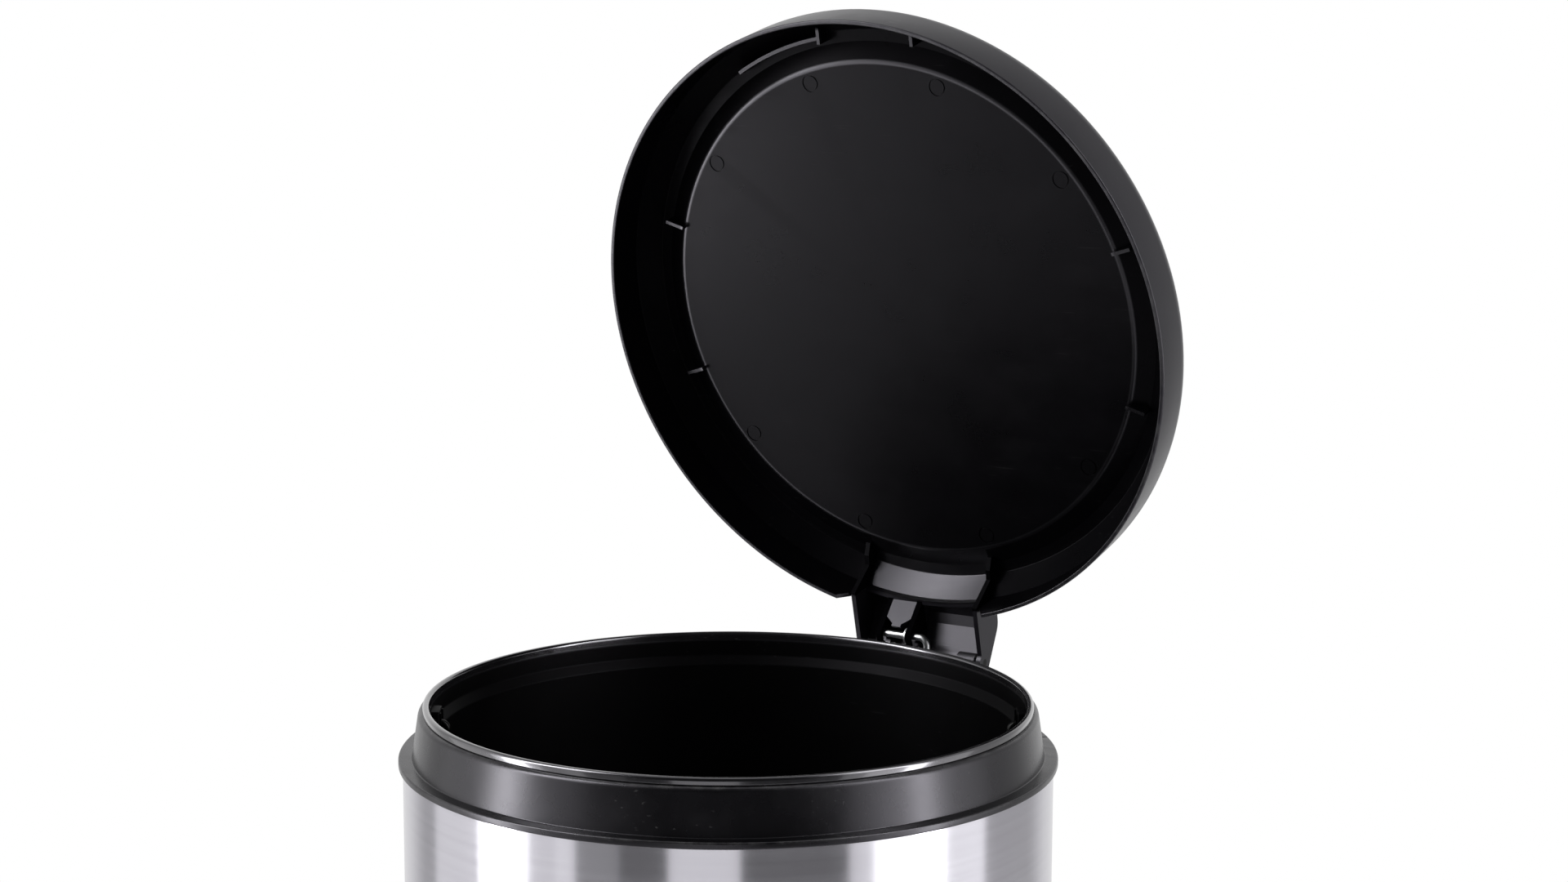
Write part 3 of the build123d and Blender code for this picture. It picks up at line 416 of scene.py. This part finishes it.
print("group", brushed_lines.name)

# %% [markdown]
# The plastics
#
# Lid, collar, bucket and base are all black, yet they don't look alike: the lid is a satin
# charcoal, the collar a smoother satin, the bucket has a half gloss, and the base is duller. One
# function makes them all, because the plastic is the same and only its skin differs. The bump
# is a fraction of a millimetre, so it only softens the reflections. A worn rim is given by its
# radius, height and width in metres, and a hollow place by a function that finds it.

# %% Plastic maker
coat_roughness = 0.07
matt_rise = 0.28


def plastic(name, colour, roughness, grain_size, grain_depth, dust, wear=(), hollow=None):
    """Moulded plastic: a colour, a skin, handling marks, dust, and rims that are rubbed."""
    made, tree, shader, where = new_finish(name)
    if name.startswith("lid"):
        where = lid_place(tree, where)
    skin = effect(tree, moulded_grain, vector=where, size=grain_size)
    marks = effect(tree, handling, vector=where, size=1.0)
    lying = effect(tree, settled_dust, vector=where, amount=dust)["Mask"]
    lighter = tuple(min(1.0, part * 1.35) for part in colour[:3]) + (1.0,)
    body = tint(tree, calc(tree, "MULTIPLY", skin["Tone"], 0.6), colour, lighter)
    for radius, height, width in wear:
        rim = effect(tree, worn_rim, vector=where, radius=radius, height=height, width=width)["Mask"]
        body = tint(tree, calc(tree, "MULTIPLY", rim, 0.5), body, grey(0.055))
    body = tint(tree, calc(tree, "MULTIPLY", marks["Scratch"], 0.25), body, grey(0.09))
    body = tint(tree, calc(tree, "MULTIPLY", lying, 0.5), body, grey(0.30))
    dull = roughness
    if hollow:
        # painted shade: the depth mask darkens the colour towards black where the place is hollow, and the
        # gloss follows the place
        depth, gloss, coat, matt = hollow(tree, where)
        body = tint(tree, calc(tree, "MULTIPLY", depth, 0.8), body, grey(0.0))
        tree.links.new(gloss, shader.inputs["Specular IOR Level"])
        dull = calc(tree, "MULTIPLY_ADD", matt, matt_rise, dull)
        if coat:
            tree.links.new(coat, shader.inputs["Coat Weight"])
            shader.inputs["Coat Roughness"].default_value = coat_roughness
    tree.links.new(body, shader.inputs["Base Color"])
    dull = calc(tree, "MULTIPLY_ADD", marks["Smear"], 0.08, dull)
    dull = calc(tree, "MULTIPLY_ADD", skin["Tone"], 0.03, dull)
    dull = calc(tree, "MULTIPLY_ADD", lying, 0.25, dull, clamp=True)
    tree.links.new(dull, shader.inputs["Roughness"])
    shader.inputs["IOR"].default_value = 1.5
    shader.inputs["Specular Tint"].default_value = (0.93, 0.90, 1.0, 1.0)
    raise_skin(tree, shader, 0.35, grain_depth, skin["Height"])
    return made


# %% [markdown]
# A pattern on the lid has to follow the lid, which is drawn open. A Mapping node turns the
# coordinates back to the shut position, where the lid's axis is upright and runs through the
# middle of the bin. Rings and rims are then simple distances from that axis. The lid's own
# sizes, in millimetres and in that shut position, serve its finish here and its shape later.

# %% Lid coordinates
open_angle = math.radians(76.2)
hinge = Vector((0, 173, 620)) * MM
lid_edge = 612.0
crest = lid_edge + 31.0
sunk = crest - 3.6
lid_wall = 2.2
skirt_inside = 148.1
rib_foot = 634.0


def lid_place(tree, vector):
    """Object coordinates of the open lid, turned back to its shut position."""
    moved = put(
        tree, "ShaderNodeVectorMath", {0: vector, 1: tuple(hinge)}, operation="SUBTRACT"
    ).outputs["Vector"]
    turned_round = put(tree, "ShaderNodeMapping", {"Vector": moved}, vector_type="POINT")
    turned_round.inputs["Rotation"].default_value = (open_angle, 0, 0)
    return put(
        tree, "ShaderNodeVectorMath", {0: turned_round.outputs[0], 1: tuple(hinge)}, operation="ADD"
    ).outputs["Vector"]


print("lid opens by", round(math.degrees(open_angle), 1), "degrees")

# %% [markdown]
# Where the plastic is hollow, shade is painted in: inside the lid's skirt, and inside the bucket
# below its lip, the colour is darkened and the gloss turned down, so that these places render
# darker. Each place is found from the distance to the axis and the height. It gives a depth,
# which is the painted shade for the colour, a gloss, a coat or none, and how matt it is. Inside
# the bucket the mould was left matt, and the lid's top is matt too, because it is grained. Small
# helpers turn places in millimetres into masks, and the hollow places are written with them.

# %% Places on the plastic
lid_gloss = 0.38
plateau_ends = (122.2, 123.2)
gutter_starts = (124.0, 125.2)
hollow_reach = skirt_inside + 0.3
top_ends = (135.0, 142.0)
rib_feet_end = (141.0, 142.0)
rib_feet_back = 80.0
arms_start = (105.0, 130.0)
arms_side = (32.0, 33.0)
web_middle = -10.9
web_apart = 8.2
web_half = 1.5
web_top = 630.0
web_back = 168.0
lip_fades = (629.0, 631.0)


def from_axis(tree, where):
    """Distance from the upright axis, and the three coordinates."""
    parts = put(tree, "ShaderNodeSeparateXYZ", {0: where}).outputs
    flat = put(tree, "ShaderNodeCombineXYZ", {0: parts["X"], 1: parts["Y"]}).outputs[0]
    away = put(tree, "ShaderNodeVectorMath", {0: flat}, operation="LENGTH").outputs["Value"]
    return away, parts


def past(tree, value, ends):
    """A mask that rises from 0 to 1 between two places in millimetres."""
    return spread(tree, value, ends[0] * MM, ends[1] * MM)


def short_of(tree, value, ends):
    """A mask that falls from 1 to 0 between two places in millimetres."""
    return spread(tree, value, ends[0] * MM, ends[1] * MM, 1.0, 0.0)


def under(tree, value, place):
    """A hard mask below one place in millimetres."""
    return calc(tree, "LESS_THAN", value, place * MM)


def all_of(tree, *masks):
    """A mask that holds where each of the given masks does."""
    together = masks[0]
    for mask in masks[1:]:
        together = calc(tree, "MULTIPLY", together, mask)
    return together


def but_not(tree, mask):
    """The opposite of a mask."""
    return calc(tree, "SUBTRACT", 1.0, mask)


print("plateau ends at", plateau_ends, "and the gutter starts at", gutter_starts)


# %% Hollow places
def web_edges(tree, parts):
    """The webs of the hinge arm where they leave the lid, which are painted black as shade."""
    from_webs = calc(tree, "ABSOLUTE", calc(tree, "SUBTRACT", parts["X"], web_middle * MM))
    return all_of(
        tree,
        calc(tree, "COMPARE", from_webs, web_apart * MM, web_half * MM),
        under(tree, parts["Z"], web_top),
        calc(tree, "GREATER_THAN", parts["Y"], hollow_reach * MM),
        under(tree, parts["Y"], web_back),
    )


def lid_shade_and_gloss(tree, where):
    """Inside the lid: painted shade, a darker colour and less gloss, satin on the plateau, a painted
    highlight of more gloss on its edge, and dull in the gutter.
    """
    away, parts = from_axis(tree, where)
    ceiling = spread(
        tree, away, 122.0 * MM, 134.0 * MM, (sunk - lid_wall / 2) * MM, (crest - lid_wall / 2) * MM
    )
    below = calc(tree, "LESS_THAN", parts["Z"], ceiling)
    inside = all_of(tree, below, under(tree, away, hollow_reach))
    edge = all_of(tree, inside, past(tree, away, plateau_ends))
    from_middle = calc(tree, "ABSOLUTE", parts["X"])
    between_arms = all_of(
        tree,
        past(tree, parts["Y"], arms_start),
        spread(tree, from_middle, arms_side[0] * MM, arms_side[1] * MM, 0.85, 0.0),
    )
    gutter = all_of(tree, inside, past(tree, away, gutter_starts), but_not(tree, between_arms))
    rib_feet = all_of(
        tree,
        short_of(tree, parts["Z"], (rib_foot + 1.0, rib_foot + 2.2)),
        short_of(tree, away, rib_feet_end),
        under(tree, parts["Y"], rib_feet_back),
        inside,
    )
    webs = web_edges(tree, parts)
    top = all_of(tree, short_of(tree, away, top_ends), but_not(tree, below))
    gloss = lid_gloss
    # painted shade: less gloss inside the lid, in the gutter and on the webs; painted highlight: more gloss
    # on the plateau's edge and on the ribs' feet
    for mask, change in (
        (inside, -0.30), (edge, 0.40), (gutter, -0.45), (rib_feet, 0.35), (webs, -0.42), (top, -0.28),
    ):
        gloss = calc(tree, "MULTIPLY_ADD", mask, change, gloss, clamp=True)
    # the first mask, inside the lid and on the webs, darkens the colour as painted shade
    return calc(tree, "MAXIMUM", inside, webs), gloss, None, top


def bucket_shade_and_gloss(tree, where):
    """Inside the bucket: painted shade, a darker colour and less gloss, below the lip, which has a coat of
    gloss.
    """
    parts = from_axis(tree, where)[1]
    inside = short_of(tree, parts["Z"], lip_fades)
    # painted shade: below the lip the gloss falls nearly to nothing and the colour is darkened
    gloss = calc(tree, "MULTIPLY_ADD", inside, -0.95, 1.0)
    return inside, gloss, but_not(tree, inside), inside


print("hollow places are ready")

# %% Plastic finishes
finish = {}
finish["lid_plastic"] = plastic(
    "lid_plastic", grey(0.0055, 0.2), roughness=0.27, grain_size=1.0, grain_depth=0.03, dust=0.05,
    wear=((0.1492, lid_edge * MM, 0.0016), (0.138, crest * MM, 0.003)), hollow=lid_shade_and_gloss,
)
finish["collar_plastic"] = plastic(
    "collar_plastic", grey(0.0012, 0.2), roughness=0.25, grain_size=0.8, grain_depth=0.02, dust=0.02,
    wear=((0.147, 0.610, 0.0015), (0.137, 0.630, 0.0015)),
)
finish["bucket_plastic"] = plastic(
    "bucket_plastic", grey(0.0025, 0.1), roughness=0.16, grain_size=0.8, grain_depth=0.015, dust=0.04,
    wear=((0.1345, 0.6337, 0.0012),), hollow=bucket_shade_and_gloss,
)
finish["base_plastic"] = plastic(
    "base_plastic", grey(0.011, 0.1), roughness=0.42, grain_size=1.2, grain_depth=0.06, dust=0.5,
    wear=((0.147, 0.005, 0.004), (0.147, 0.052, 0.003)),
)
print("plastics", sorted(finish))

# %% [markdown]
# The brushed steel
#
# The body is a sheet brushed round the tube. The lines are too fine to see one by one from here.
# What they do is stretch every reflection upwards, so the shader is anisotropic, with its
# direction running round the axis, and faint lines vary its colour, roughness and height.

# %% Brushed steel
steel, tree, shader, where = new_finish("steel_skin")
lines = effect(tree, brushed_lines, vector=where, girth=0.145)
marks = effect(tree, handling, vector=where, size=1.6)
shade = tint(tree, lines["Tone"], (0.545, 0.533, 0.580, 1.0), (0.575, 0.562, 0.611, 1.0))
shade = tint(tree, calc(tree, "MULTIPLY", marks["Smear"], 0.08), shade, (0.45, 0.45, 0.46, 1.0))
tree.links.new(shade, shader.inputs["Base Color"])
dull = calc(tree, "MULTIPLY_ADD", lines["Cloud"], 0.02, 0.15)
dull = calc(tree, "MULTIPLY_ADD", lines["Tone"], 0.02, dull)
dull = calc(tree, "MULTIPLY_ADD", marks["Smear"], 0.04, dull)
tree.links.new(dull, shader.inputs["Roughness"])
shader.inputs["Metallic"].default_value = 1.0
shader.inputs["Anisotropic"].default_value = 0.8
shader.inputs["Anisotropic Rotation"].default_value = 0.25
direction = put(tree, "ShaderNodeTangent", direction_type="RADIAL", axis="Z")
tree.links.new(direction.outputs[0], shader.inputs["Tangent"])
raise_skin(tree, shader, 0.03, 0.02, lines["Height"])
finish["steel_skin"] = steel
print("steel is ready")

# %% [markdown]
# Wire, sheet and rubber
#
# The bail, the push rod and the pedal's lever are zinc plated: a pale metal with a cloudy bloom
# and fine pits. Their ends that show at the rim, those of the hinge pins in the arm and of the bail
# in the bucket's ears, get painted shade that turns them nearly black. The foot ring and the pad
# are rubber, nearly black, rough and a little dusty.

# %% Zinc and rubber
shade_aside = (34.0, 34.6)
shade_above = (595.0, 600.0)


def plated(name, colour, roughness):
    """Zinc plate: cloudy, with fine pits, and painted shade, nearly black, at its ends near the rim."""
    made, tree, shader, where = new_finish(name)
    bloom = noise(tree, where, 160.0, 5.0, 0.6)
    pits = noise(tree, where, 1400.0, 2.0)
    marks = effect(tree, handling, vector=where, size=0.5)
    darker = tuple(part * 0.72 for part in colour[:3]) + (1.0,)
    shade = tint(tree, spread(tree, bloom, 0.3, 0.7), darker, colour)
    parts = from_axis(tree, where)[1]
    aside = calc(tree, "ABSOLUTE", parts["X"])
    # painted shade: the ends beyond the arm's sides and near the rim are turned nearly black
    ends_in_shade = all_of(
        tree, past(tree, aside, shade_aside), past(tree, parts["Z"], shade_above)
    )
    shade = tint(tree, ends_in_shade, shade, grey(0.01))
    tree.links.new(shade, shader.inputs["Base Color"])
    dull = calc(tree, "MULTIPLY_ADD", bloom, 0.14, roughness - 0.07)
    dull = calc(tree, "MULTIPLY_ADD", marks["Smear"], 0.15, dull, clamp=True)
    tree.links.new(dull, shader.inputs["Roughness"])
    shader.inputs["Metallic"].default_value = 1.0
    raise_skin(tree, shader, 0.25, 0.04, pits)
    return made


def rubber(name, level, roughness, dust):
    """Matt rubber with a fine tooth and dust in it."""
    made, tree, shader, where = new_finish(name)
    skin = effect(tree, moulded_grain, vector=where, size=1.6)
    lying = effect(tree, settled_dust, vector=where, amount=dust)["Mask"]
    body = tint(tree, skin["Tone"], grey(level), grey(level * 1.6))
    body = tint(tree, lying, body, grey(0.24))
    tree.links.new(body, shader.inputs["Base Color"])
    dull = calc(tree, "MULTIPLY_ADD", skin["Tone"], 0.12, roughness, clamp=True)
    tree.links.new(dull, shader.inputs["Roughness"])
    raise_skin(tree, shader, 0.5, 0.1, skin["Height"])
    return made


finish["wire_steel"] = plated("wire_steel", (0.62, 0.63, 0.64, 1.0), roughness=0.30)
finish["lever_steel"] = plated("lever_steel", (0.55, 0.56, 0.58, 1.0), roughness=0.36)
finish["small_steel"] = plated("small_steel", (0.60, 0.61, 0.62, 1.0), roughness=0.28)
finish["feet_rubber"] = rubber("feet_rubber", level=0.016, roughness=0.72, dust=0.5)
finish["pad_rubber"] = rubber("pad_rubber", level=0.015, roughness=0.66, dust=0.4)
for node in nodes.values():
    for place in node.material_slots:
        place.material = finish[place.material.name]
print("finishes", sorted(finish))

# %% [markdown]
# Helpers for modelling
#
# Most pieces are round, so they are turned: the outline is drawn as a chain of points by
# extruding one vertex, its corners already rounded, and then spun about the upright axis. After
# a spin the first and the last line of points lie on each other, so they are merged. Then the
# normals are made to agree, and flipped if the volume that they enclose comes out negative.

# %% Modelling helpers
smooth_below = math.radians(35)


def pick(piece):
    """Selects one piece alone and makes it active."""
    bpy.ops.object.select_all(action="DESELECT")
    piece.select_set(True)
    bpy.context.view_layer.objects.active = piece


def rounded(corners, steps):
    """Points of an outline whose corners (out, up, rounding) are rounded to their radius."""
    points = []
    last = len(corners) - 1
    for i, (out, up, radius) in enumerate(corners):
        here = Vector((out, up))
        if radius == 0 or i in (0, last):
            points.append(here)
            continue
        to_before = (Vector(corners[i - 1][:2]) - here).normalized()
        to_after = (Vector(corners[i + 1][:2]) - here).normalized()
        half = to_before.angle(to_after) / 2
        start = here + to_before * (radius / math.tan(half))
        middle = here + (to_before + to_after).normalized() * (radius / math.sin(half))
        first_arm = start - middle
        whole = math.pi - 2 * half
        sign = 1 if first_arm.y * to_before.x > first_arm.x * to_before.y else -1
        for step in range(steps + 1):
            turn = sign * whole * step / steps
            points.append(middle + Vector((
                first_arm.x * math.cos(turn) - first_arm.y * math.sin(turn),
                first_arm.x * math.sin(turn) + first_arm.y * math.cos(turn),
            )))
    return points


def face_outwards(piece):
    """Makes a closed piece's normals agree and point out of it."""
    pick(piece)
    bpy.ops.object.mode_set(mode="EDIT")
    bpy.ops.mesh.select_all(action="SELECT")
    bpy.ops.mesh.normals_make_consistent(inside=False)
    bpy.ops.object.mode_set(mode="OBJECT")
    enclosed = sum(face.center.dot(face.normal) * face.area for face in piece.data.polygons)
    if enclosed < 0:
        bpy.ops.object.mode_set(mode="EDIT")
        bpy.ops.mesh.flip_normals()
        bpy.ops.object.mode_set(mode="OBJECT")
    return piece


def turned(name, corners, segments, steps=6):
    """A piece spun about the upright axis from an outline in millimetres."""
    outline = [point * MM for point in rounded(corners, steps)]
    bpy.ops.object.select_all(action="DESELECT")
    bpy.ops.mesh.primitive_plane_add(size=MM, location=(outline[0].x, 0, outline[0].y))
    piece = bpy.context.object
    piece.name = name
    bpy.ops.object.transform_apply(location=True)
    bpy.ops.object.mode_set(mode="EDIT")
    bpy.ops.mesh.select_all(action="SELECT")
    bpy.ops.mesh.merge(type="CENTER")
    for before, after in zip(outline, outline[1:]):
        step = (after.x - before.x, 0, after.y - before.y)
        bpy.ops.mesh.extrude_vertices_move(TRANSFORM_OT_translate={"value": step})
    bpy.ops.mesh.select_all(action="SELECT")
    bpy.ops.mesh.spin(steps=segments, angle=2 * math.pi, center=(0, 0, 0), axis=(0, 0, 1))
    bpy.ops.mesh.select_all(action="SELECT")
    bpy.ops.mesh.remove_doubles(threshold=0.000002)
    bpy.ops.object.mode_set(mode="OBJECT")
    return face_outwards(piece)


def block(name, low, high):
    """A box between two corners in millimetres, to be cut, moved or joined."""
    low, high = Vector(low) * MM, Vector(high) * MM
    bpy.ops.object.select_all(action="DESELECT")
    bpy.ops.mesh.primitive_cube_add(size=1, location=(low + high) / 2)
    piece = bpy.context.object
    piece.name = name
    piece.scale = high - low
    bpy.ops.object.transform_apply(location=True, scale=True)
    return piece


def about_axis(piece, degrees):
    """Turns a piece about the upright axis and keeps its object at the origin."""
    pick(piece)
    piece.rotation_euler = (0, 0, math.radians(degrees))
    bpy.ops.object.transform_apply(rotation=True)
    return piece


def pick_points(piece, wanted):
    """Selects the points that a test says yes to, and leaves the piece in edit mode."""
    pick(piece)
    bpy.ops.object.mode_set(mode="EDIT")
    bpy.ops.mesh.select_mode(type="VERT")
    bpy.ops.mesh.select_all(action="DESELECT")
    bpy.ops.object.mode_set(mode="OBJECT")
    for point in piece.data.vertices:
        point.select = wanted(point.co)
    bpy.ops.object.mode_set(mode="EDIT")


def combine(piece, tool, operation):
    """Cuts a tool away from a piece, or joins it on, and removes the tool."""
    pick(piece)
    modifier = piece.modifiers.new("tool", "BOOLEAN")
    modifier.operation = operation
    modifier.solver = "EXACT"
    modifier.object = tool
    bpy.ops.object.modifier_apply(modifier="tool")
    bpy.data.objects.remove(tool)
    return piece


def dress(piece, slot, body, *replaced):
    """Smooths a piece, gives it its finish, and ties it to the frame."""
    pick(piece)
    bpy.ops.object.shade_smooth_by_angle(angle=smooth_below)
    piece.data.materials.clear()
    piece.data.materials.append(finish[slot])
    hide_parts(*replaced)
    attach(piece, body)
    print(piece.name, "faces", len(piece.data.polygons))
    return piece


# %% [markdown]
# The lid
#
# The lid is a shallow cap of even wall. Seen from below it has a rounded edge, a deep skirt, a
# gutter, and a raised plateau whose soft edge catches the light. It could be a sculpted disc,
# but a turned outline gives the even wall at once. It is drawn shut, with the small moulded
# parts added, and swung open at the end.

# %% Lid shell
lid_shell = turned("lid_shell", (
    (0, sunk + 0.4, 0),
    (122.3, sunk, 1.5),
    (130.3, crest - 0.4, 3.0),
    (149.8, crest, 11.4),
    (150.3, lid_edge, 0.7),
    (skirt_inside, lid_edge, 0.7),
    (147.6, crest - 12.0, 0.8),
    (138.6, crest - lid_wall, 0.8),
    (132.8, crest - lid_wall, 1.0),
    (123.8, sunk - lid_wall, 3.0),
    (0, sunk - 1.8, 0),
), 192, 9)
print("lid shell", len(lid_shell.data.vertices), "points")

# %% [markdown]
# The way out for the hinge arm
#
# The skirt is open at the back, where the hinge arm leaves the lid, and the opening widens to a
# notch at the skirt's edge. Both are cut with blocks, and the notch's lower face is stretched
# sideways first, so that its ends slope.

# %% Way out for the hinge arm
way_half = 35.8
way_front = 132
way_back = 169
way_out = block("way_out", (-way_half, way_front, lid_edge - 2), (way_half, way_back, lid_edge + 16))
combine(lid_shell, way_out, "DIFFERENCE")
notch_height = 8
notch_extra = 5.5
notch = block(
    "notch",
    (-way_half, way_front, lid_edge - notch_height), (way_half, way_back, lid_edge + notch_height),
)
pick_points(notch, lambda point: point.z < lid_edge * MM)
bpy.ops.transform.resize(value=(1 + 2 * notch_extra / way_half, 1, 1))
bpy.ops.object.mode_set(mode="OBJECT")
combine(lid_shell, notch, "DIFFERENCE")
print("lid shell with its notch", len(lid_shell.data.vertices), "points")

# %% [markdown]
# The small parts inside the lid
#
# Inside the lid are four short ribs that come down on the bucket's lip, a catch pocket at the
# front made of a curved wall between two ribs, and eight faint rings where the mould's pins
# pushed the lid out. A rib is a box whose inner top edge is lowered to follow the slope.

# %% Ribs
rib_half = 0.8
rib_top = crest - lid_wall / 2
rib_slope = 3.6
for polar in (17.5, 162.5, 197.5, 342.5):
    rib = block("rib", (123.4, -rib_half, rib_foot), (133.2, rib_half, rib_top))
    pick_points(rib, lambda point: point.x < 130 * MM and point.z > (rib_foot + 1) * MM)
    bpy.ops.transform.translate(value=(0, 0, -rib_slope * MM))
    bpy.ops.object.mode_set(mode="OBJECT")
    combine(lid_shell, about_axis(rib, polar), "UNION")
print("lid with ribs", len(lid_shell.data.polygons), "faces")

# %% Catch pocket
pocket_radius = 137.5
pocket_half = 25
pocket_wall = 1.6
pocket_tall = 7.4
pocket_turn = math.asin(pocket_half / pocket_radius)
bpy.ops.object.select_all(action="DESELECT")
bpy.ops.mesh.primitive_plane_add(size=1, location=(0, 0, 0), rotation=(math.pi / 2, 0, 0))
pocket = bpy.context.object
pocket.scale = (pocket_wall * MM, pocket_tall * MM, 1)
pocket.location = (pocket_radius * MM, 0, (rib_foot + pocket_tall / 2) * MM)
bpy.ops.object.transform_apply(location=True, rotation=True, scale=True)
bpy.ops.object.mode_set(mode="EDIT")
bpy.ops.mesh.select_all(action="SELECT")
bpy.ops.mesh.spin(steps=16, angle=2 * pocket_turn, center=(0, 0, 0), axis=(0, 0, 1))
bpy.ops.object.mode_set(mode="OBJECT")
face_outwards(pocket)
combine(lid_shell, about_axis(pocket, 270 - math.degrees(pocket_turn)), "UNION")
for side in (-pocket_half, pocket_half):
    cheek = block(
        "cheek", (side - rib_half, -140.3, rib_foot - 0.1), (side + rib_half, -132.3, rib_top)
    )
    combine(lid_shell, cheek, "UNION")
print("lid with its pocket", len(lid_shell.data.polygons), "faces")

# %% Pin marks
mark_ring = 117.5 * MM
mark_depth = 0.4
plateau_there = sunk - 2.17
cutter_half = 1
for polar in (37, 73, 107, 143, 217, 253, 287, 323):
    bpy.ops.object.select_all(action="DESELECT")
    bearing = math.radians(polar)
    mark_place = (
        mark_ring * math.cos(bearing),
        mark_ring * math.sin(bearing),
        (plateau_there + mark_depth - cutter_half) * MM,
    )
    bpy.ops.mesh.primitive_cylinder_add(
        vertices=32, radius=3.6 * MM, depth=4 * cutter_half * MM, location=mark_place
    )
    core = bpy.context.object
    bpy.ops.mesh.primitive_cylinder_add(
        vertices=32, radius=4.3 * MM, depth=2 * cutter_half * MM, location=mark_place
    )
    combine(lid_shell, combine(bpy.context.object, core, "DIFFERENCE"), "DIFFERENCE")
print("lid with ribs and marks", len(lid_shell.data.polygons), "faces")

# %% [markdown]
# The shut lid is swung open about its hinge line. Rotating the object and then applying the
# rotation leaves the object itself at the origin, which the frame needs.


# %% Open the lid
def swing_open(piece):
    """Turns a piece from the shut lid's place to the open one."""
    pick(piece)
    to_hinge = Matrix.Translation(hinge)
    piece.matrix_world = to_hinge @ Matrix.Rotation(-open_angle, 4, "X") @ to_hinge.inverted()
    bpy.ops.object.transform_apply(location=True, rotation=True, scale=True)


swing_open(lid_shell)
dress(lid_shell, "lid_plastic", "lid_body", "lid")

# %% [markdown]
# The collar
#
# The collar closes the top of the steel: a flange lies on the sheet's edge, and a flared band
# rises from it. The band's shoulder is round and soft, and where it meets the flange the sharp
# inner corner holds a dark line. Two narrow slits run across the flange at the back.

# %% Collar
flange = 610.0
collar = turned("collar_ring", (
    (134.4, 629.0, 0),
    (134.4, 630.4, 0.5),
    (137.9, 630.4, 2.6),
    (141.0, flange, 0.5),
    (147.0, flange, 0.8),
    (147.0, flange - 3, 0.5),
    (144.15, flange - 3, 0.2),
    (144.15, 592.0, 0.4),
    (141.8, 592.0, 0.4),
    (141.8, 604.0, 1.0),
    (138.8, flange - 3, 1.0),
    (135.4, 627.6, 1.0),
    (134.4, 629.0, 0),
), 256, 6)
for polar in (41.5, 138.5):
    slit = block("slit", (142.0, -0.5, flange - 1.5), (149.0, 0.5, flange + 1))
    combine(collar, about_axis(slit, polar), "DIFFERENCE")
dress(collar, "collar_plastic", "bin_body", "collar")

# %% [markdown]
# The inner bucket
#
# The bucket hangs in the collar by its lip. Its wall steps in at a ledge and tapers down to a
# flat bottom. Two square ears inside the neck hold the bail. The lip is rounder and glossier
# than the collar, so it carries the brightest highlights of the black parts.

# %% Bucket
lip_top = 633.7
bucket = turned("bucket_shell", (
    (0, 50.0, 0),
    (118.0, 50.0, 6.0),
    (131.6, 612.3, 2.0),
    (134.1, 617.3, 1.0),
    (134.1, 630.4, 0.3),
    (136.0, 630.4, 0.5),
    (136.0, lip_top, 1.45),
    (133.0, lip_top, 1.45),
    (132.6, 622.3, 1.5),
    (129.6, 618.3, 1.5),
    (116.0, 52.0, 6.0),
    (0, 52.0, 0),
), 256, 6)
ear_height = 621.7
ear_half = 6.5
strip_half = 5.5
for polar in (32.6, 212.6):
    ear = block(
        "ear", (128.75, -ear_half, ear_height - ear_half), (133.6, ear_half, ear_height + ear_half)
    )
    bpy.ops.object.mode_set(mode="EDIT")
    bpy.ops.mesh.select_all(action="SELECT")
    bpy.ops.mesh.bevel(offset=0.6 * MM, segments=3, affect="EDGES")
    bpy.ops.object.mode_set(mode="OBJECT")
    for left in (-4.2, 4.2):
        strip = block(
            "strip",
            (128.1, left - 0.6, ear_height - strip_half), (129.4, left + 0.6, ear_height + strip_half),
        )
        combine(ear, strip, "UNION")
    bpy.ops.object.select_all(action="DESELECT")
    bpy.ops.mesh.primitive_cylinder_add(
        vertices=32, radius=1.8 * MM, depth=14 * MM,
        location=(131 * MM, 0, ear_height * MM), rotation=(0, math.pi / 2, 0),
    )
    drill = bpy.context.object
    pick(drill)
    bpy.ops.object.transform_apply(location=True, rotation=True)
    about_axis(drill, polar)
    combine(bucket, about_axis(ear, polar), "UNION")
    combine(bucket, drill, "DIFFERENCE")
dress(bucket, "bucket_plastic", "bin_body", "inner_bucket")

# %% [markdown]
# The steel tube
#
# The tube is turned with many segments, because a long highlight shows every facet. A window at
# the back lets the push rod out, and it is hidden in the hinge's housing.

# %% Steel tube
steel_top = flange - 3
tube = turned("steel_tube", (
    (144.2, 45.5, 0),
    (145.0, 45.5, 0),
    (145.0, steel_top, 0),
    (144.2, steel_top, 0),
    (144.2, 45.5, 0),
), 256, 1)
combine(tube, block("window", (-5, 130, 551), (17, 150, 620)), "DIFFERENCE")
dress(tube, "steel_skin", "bin_body", "steel_body")
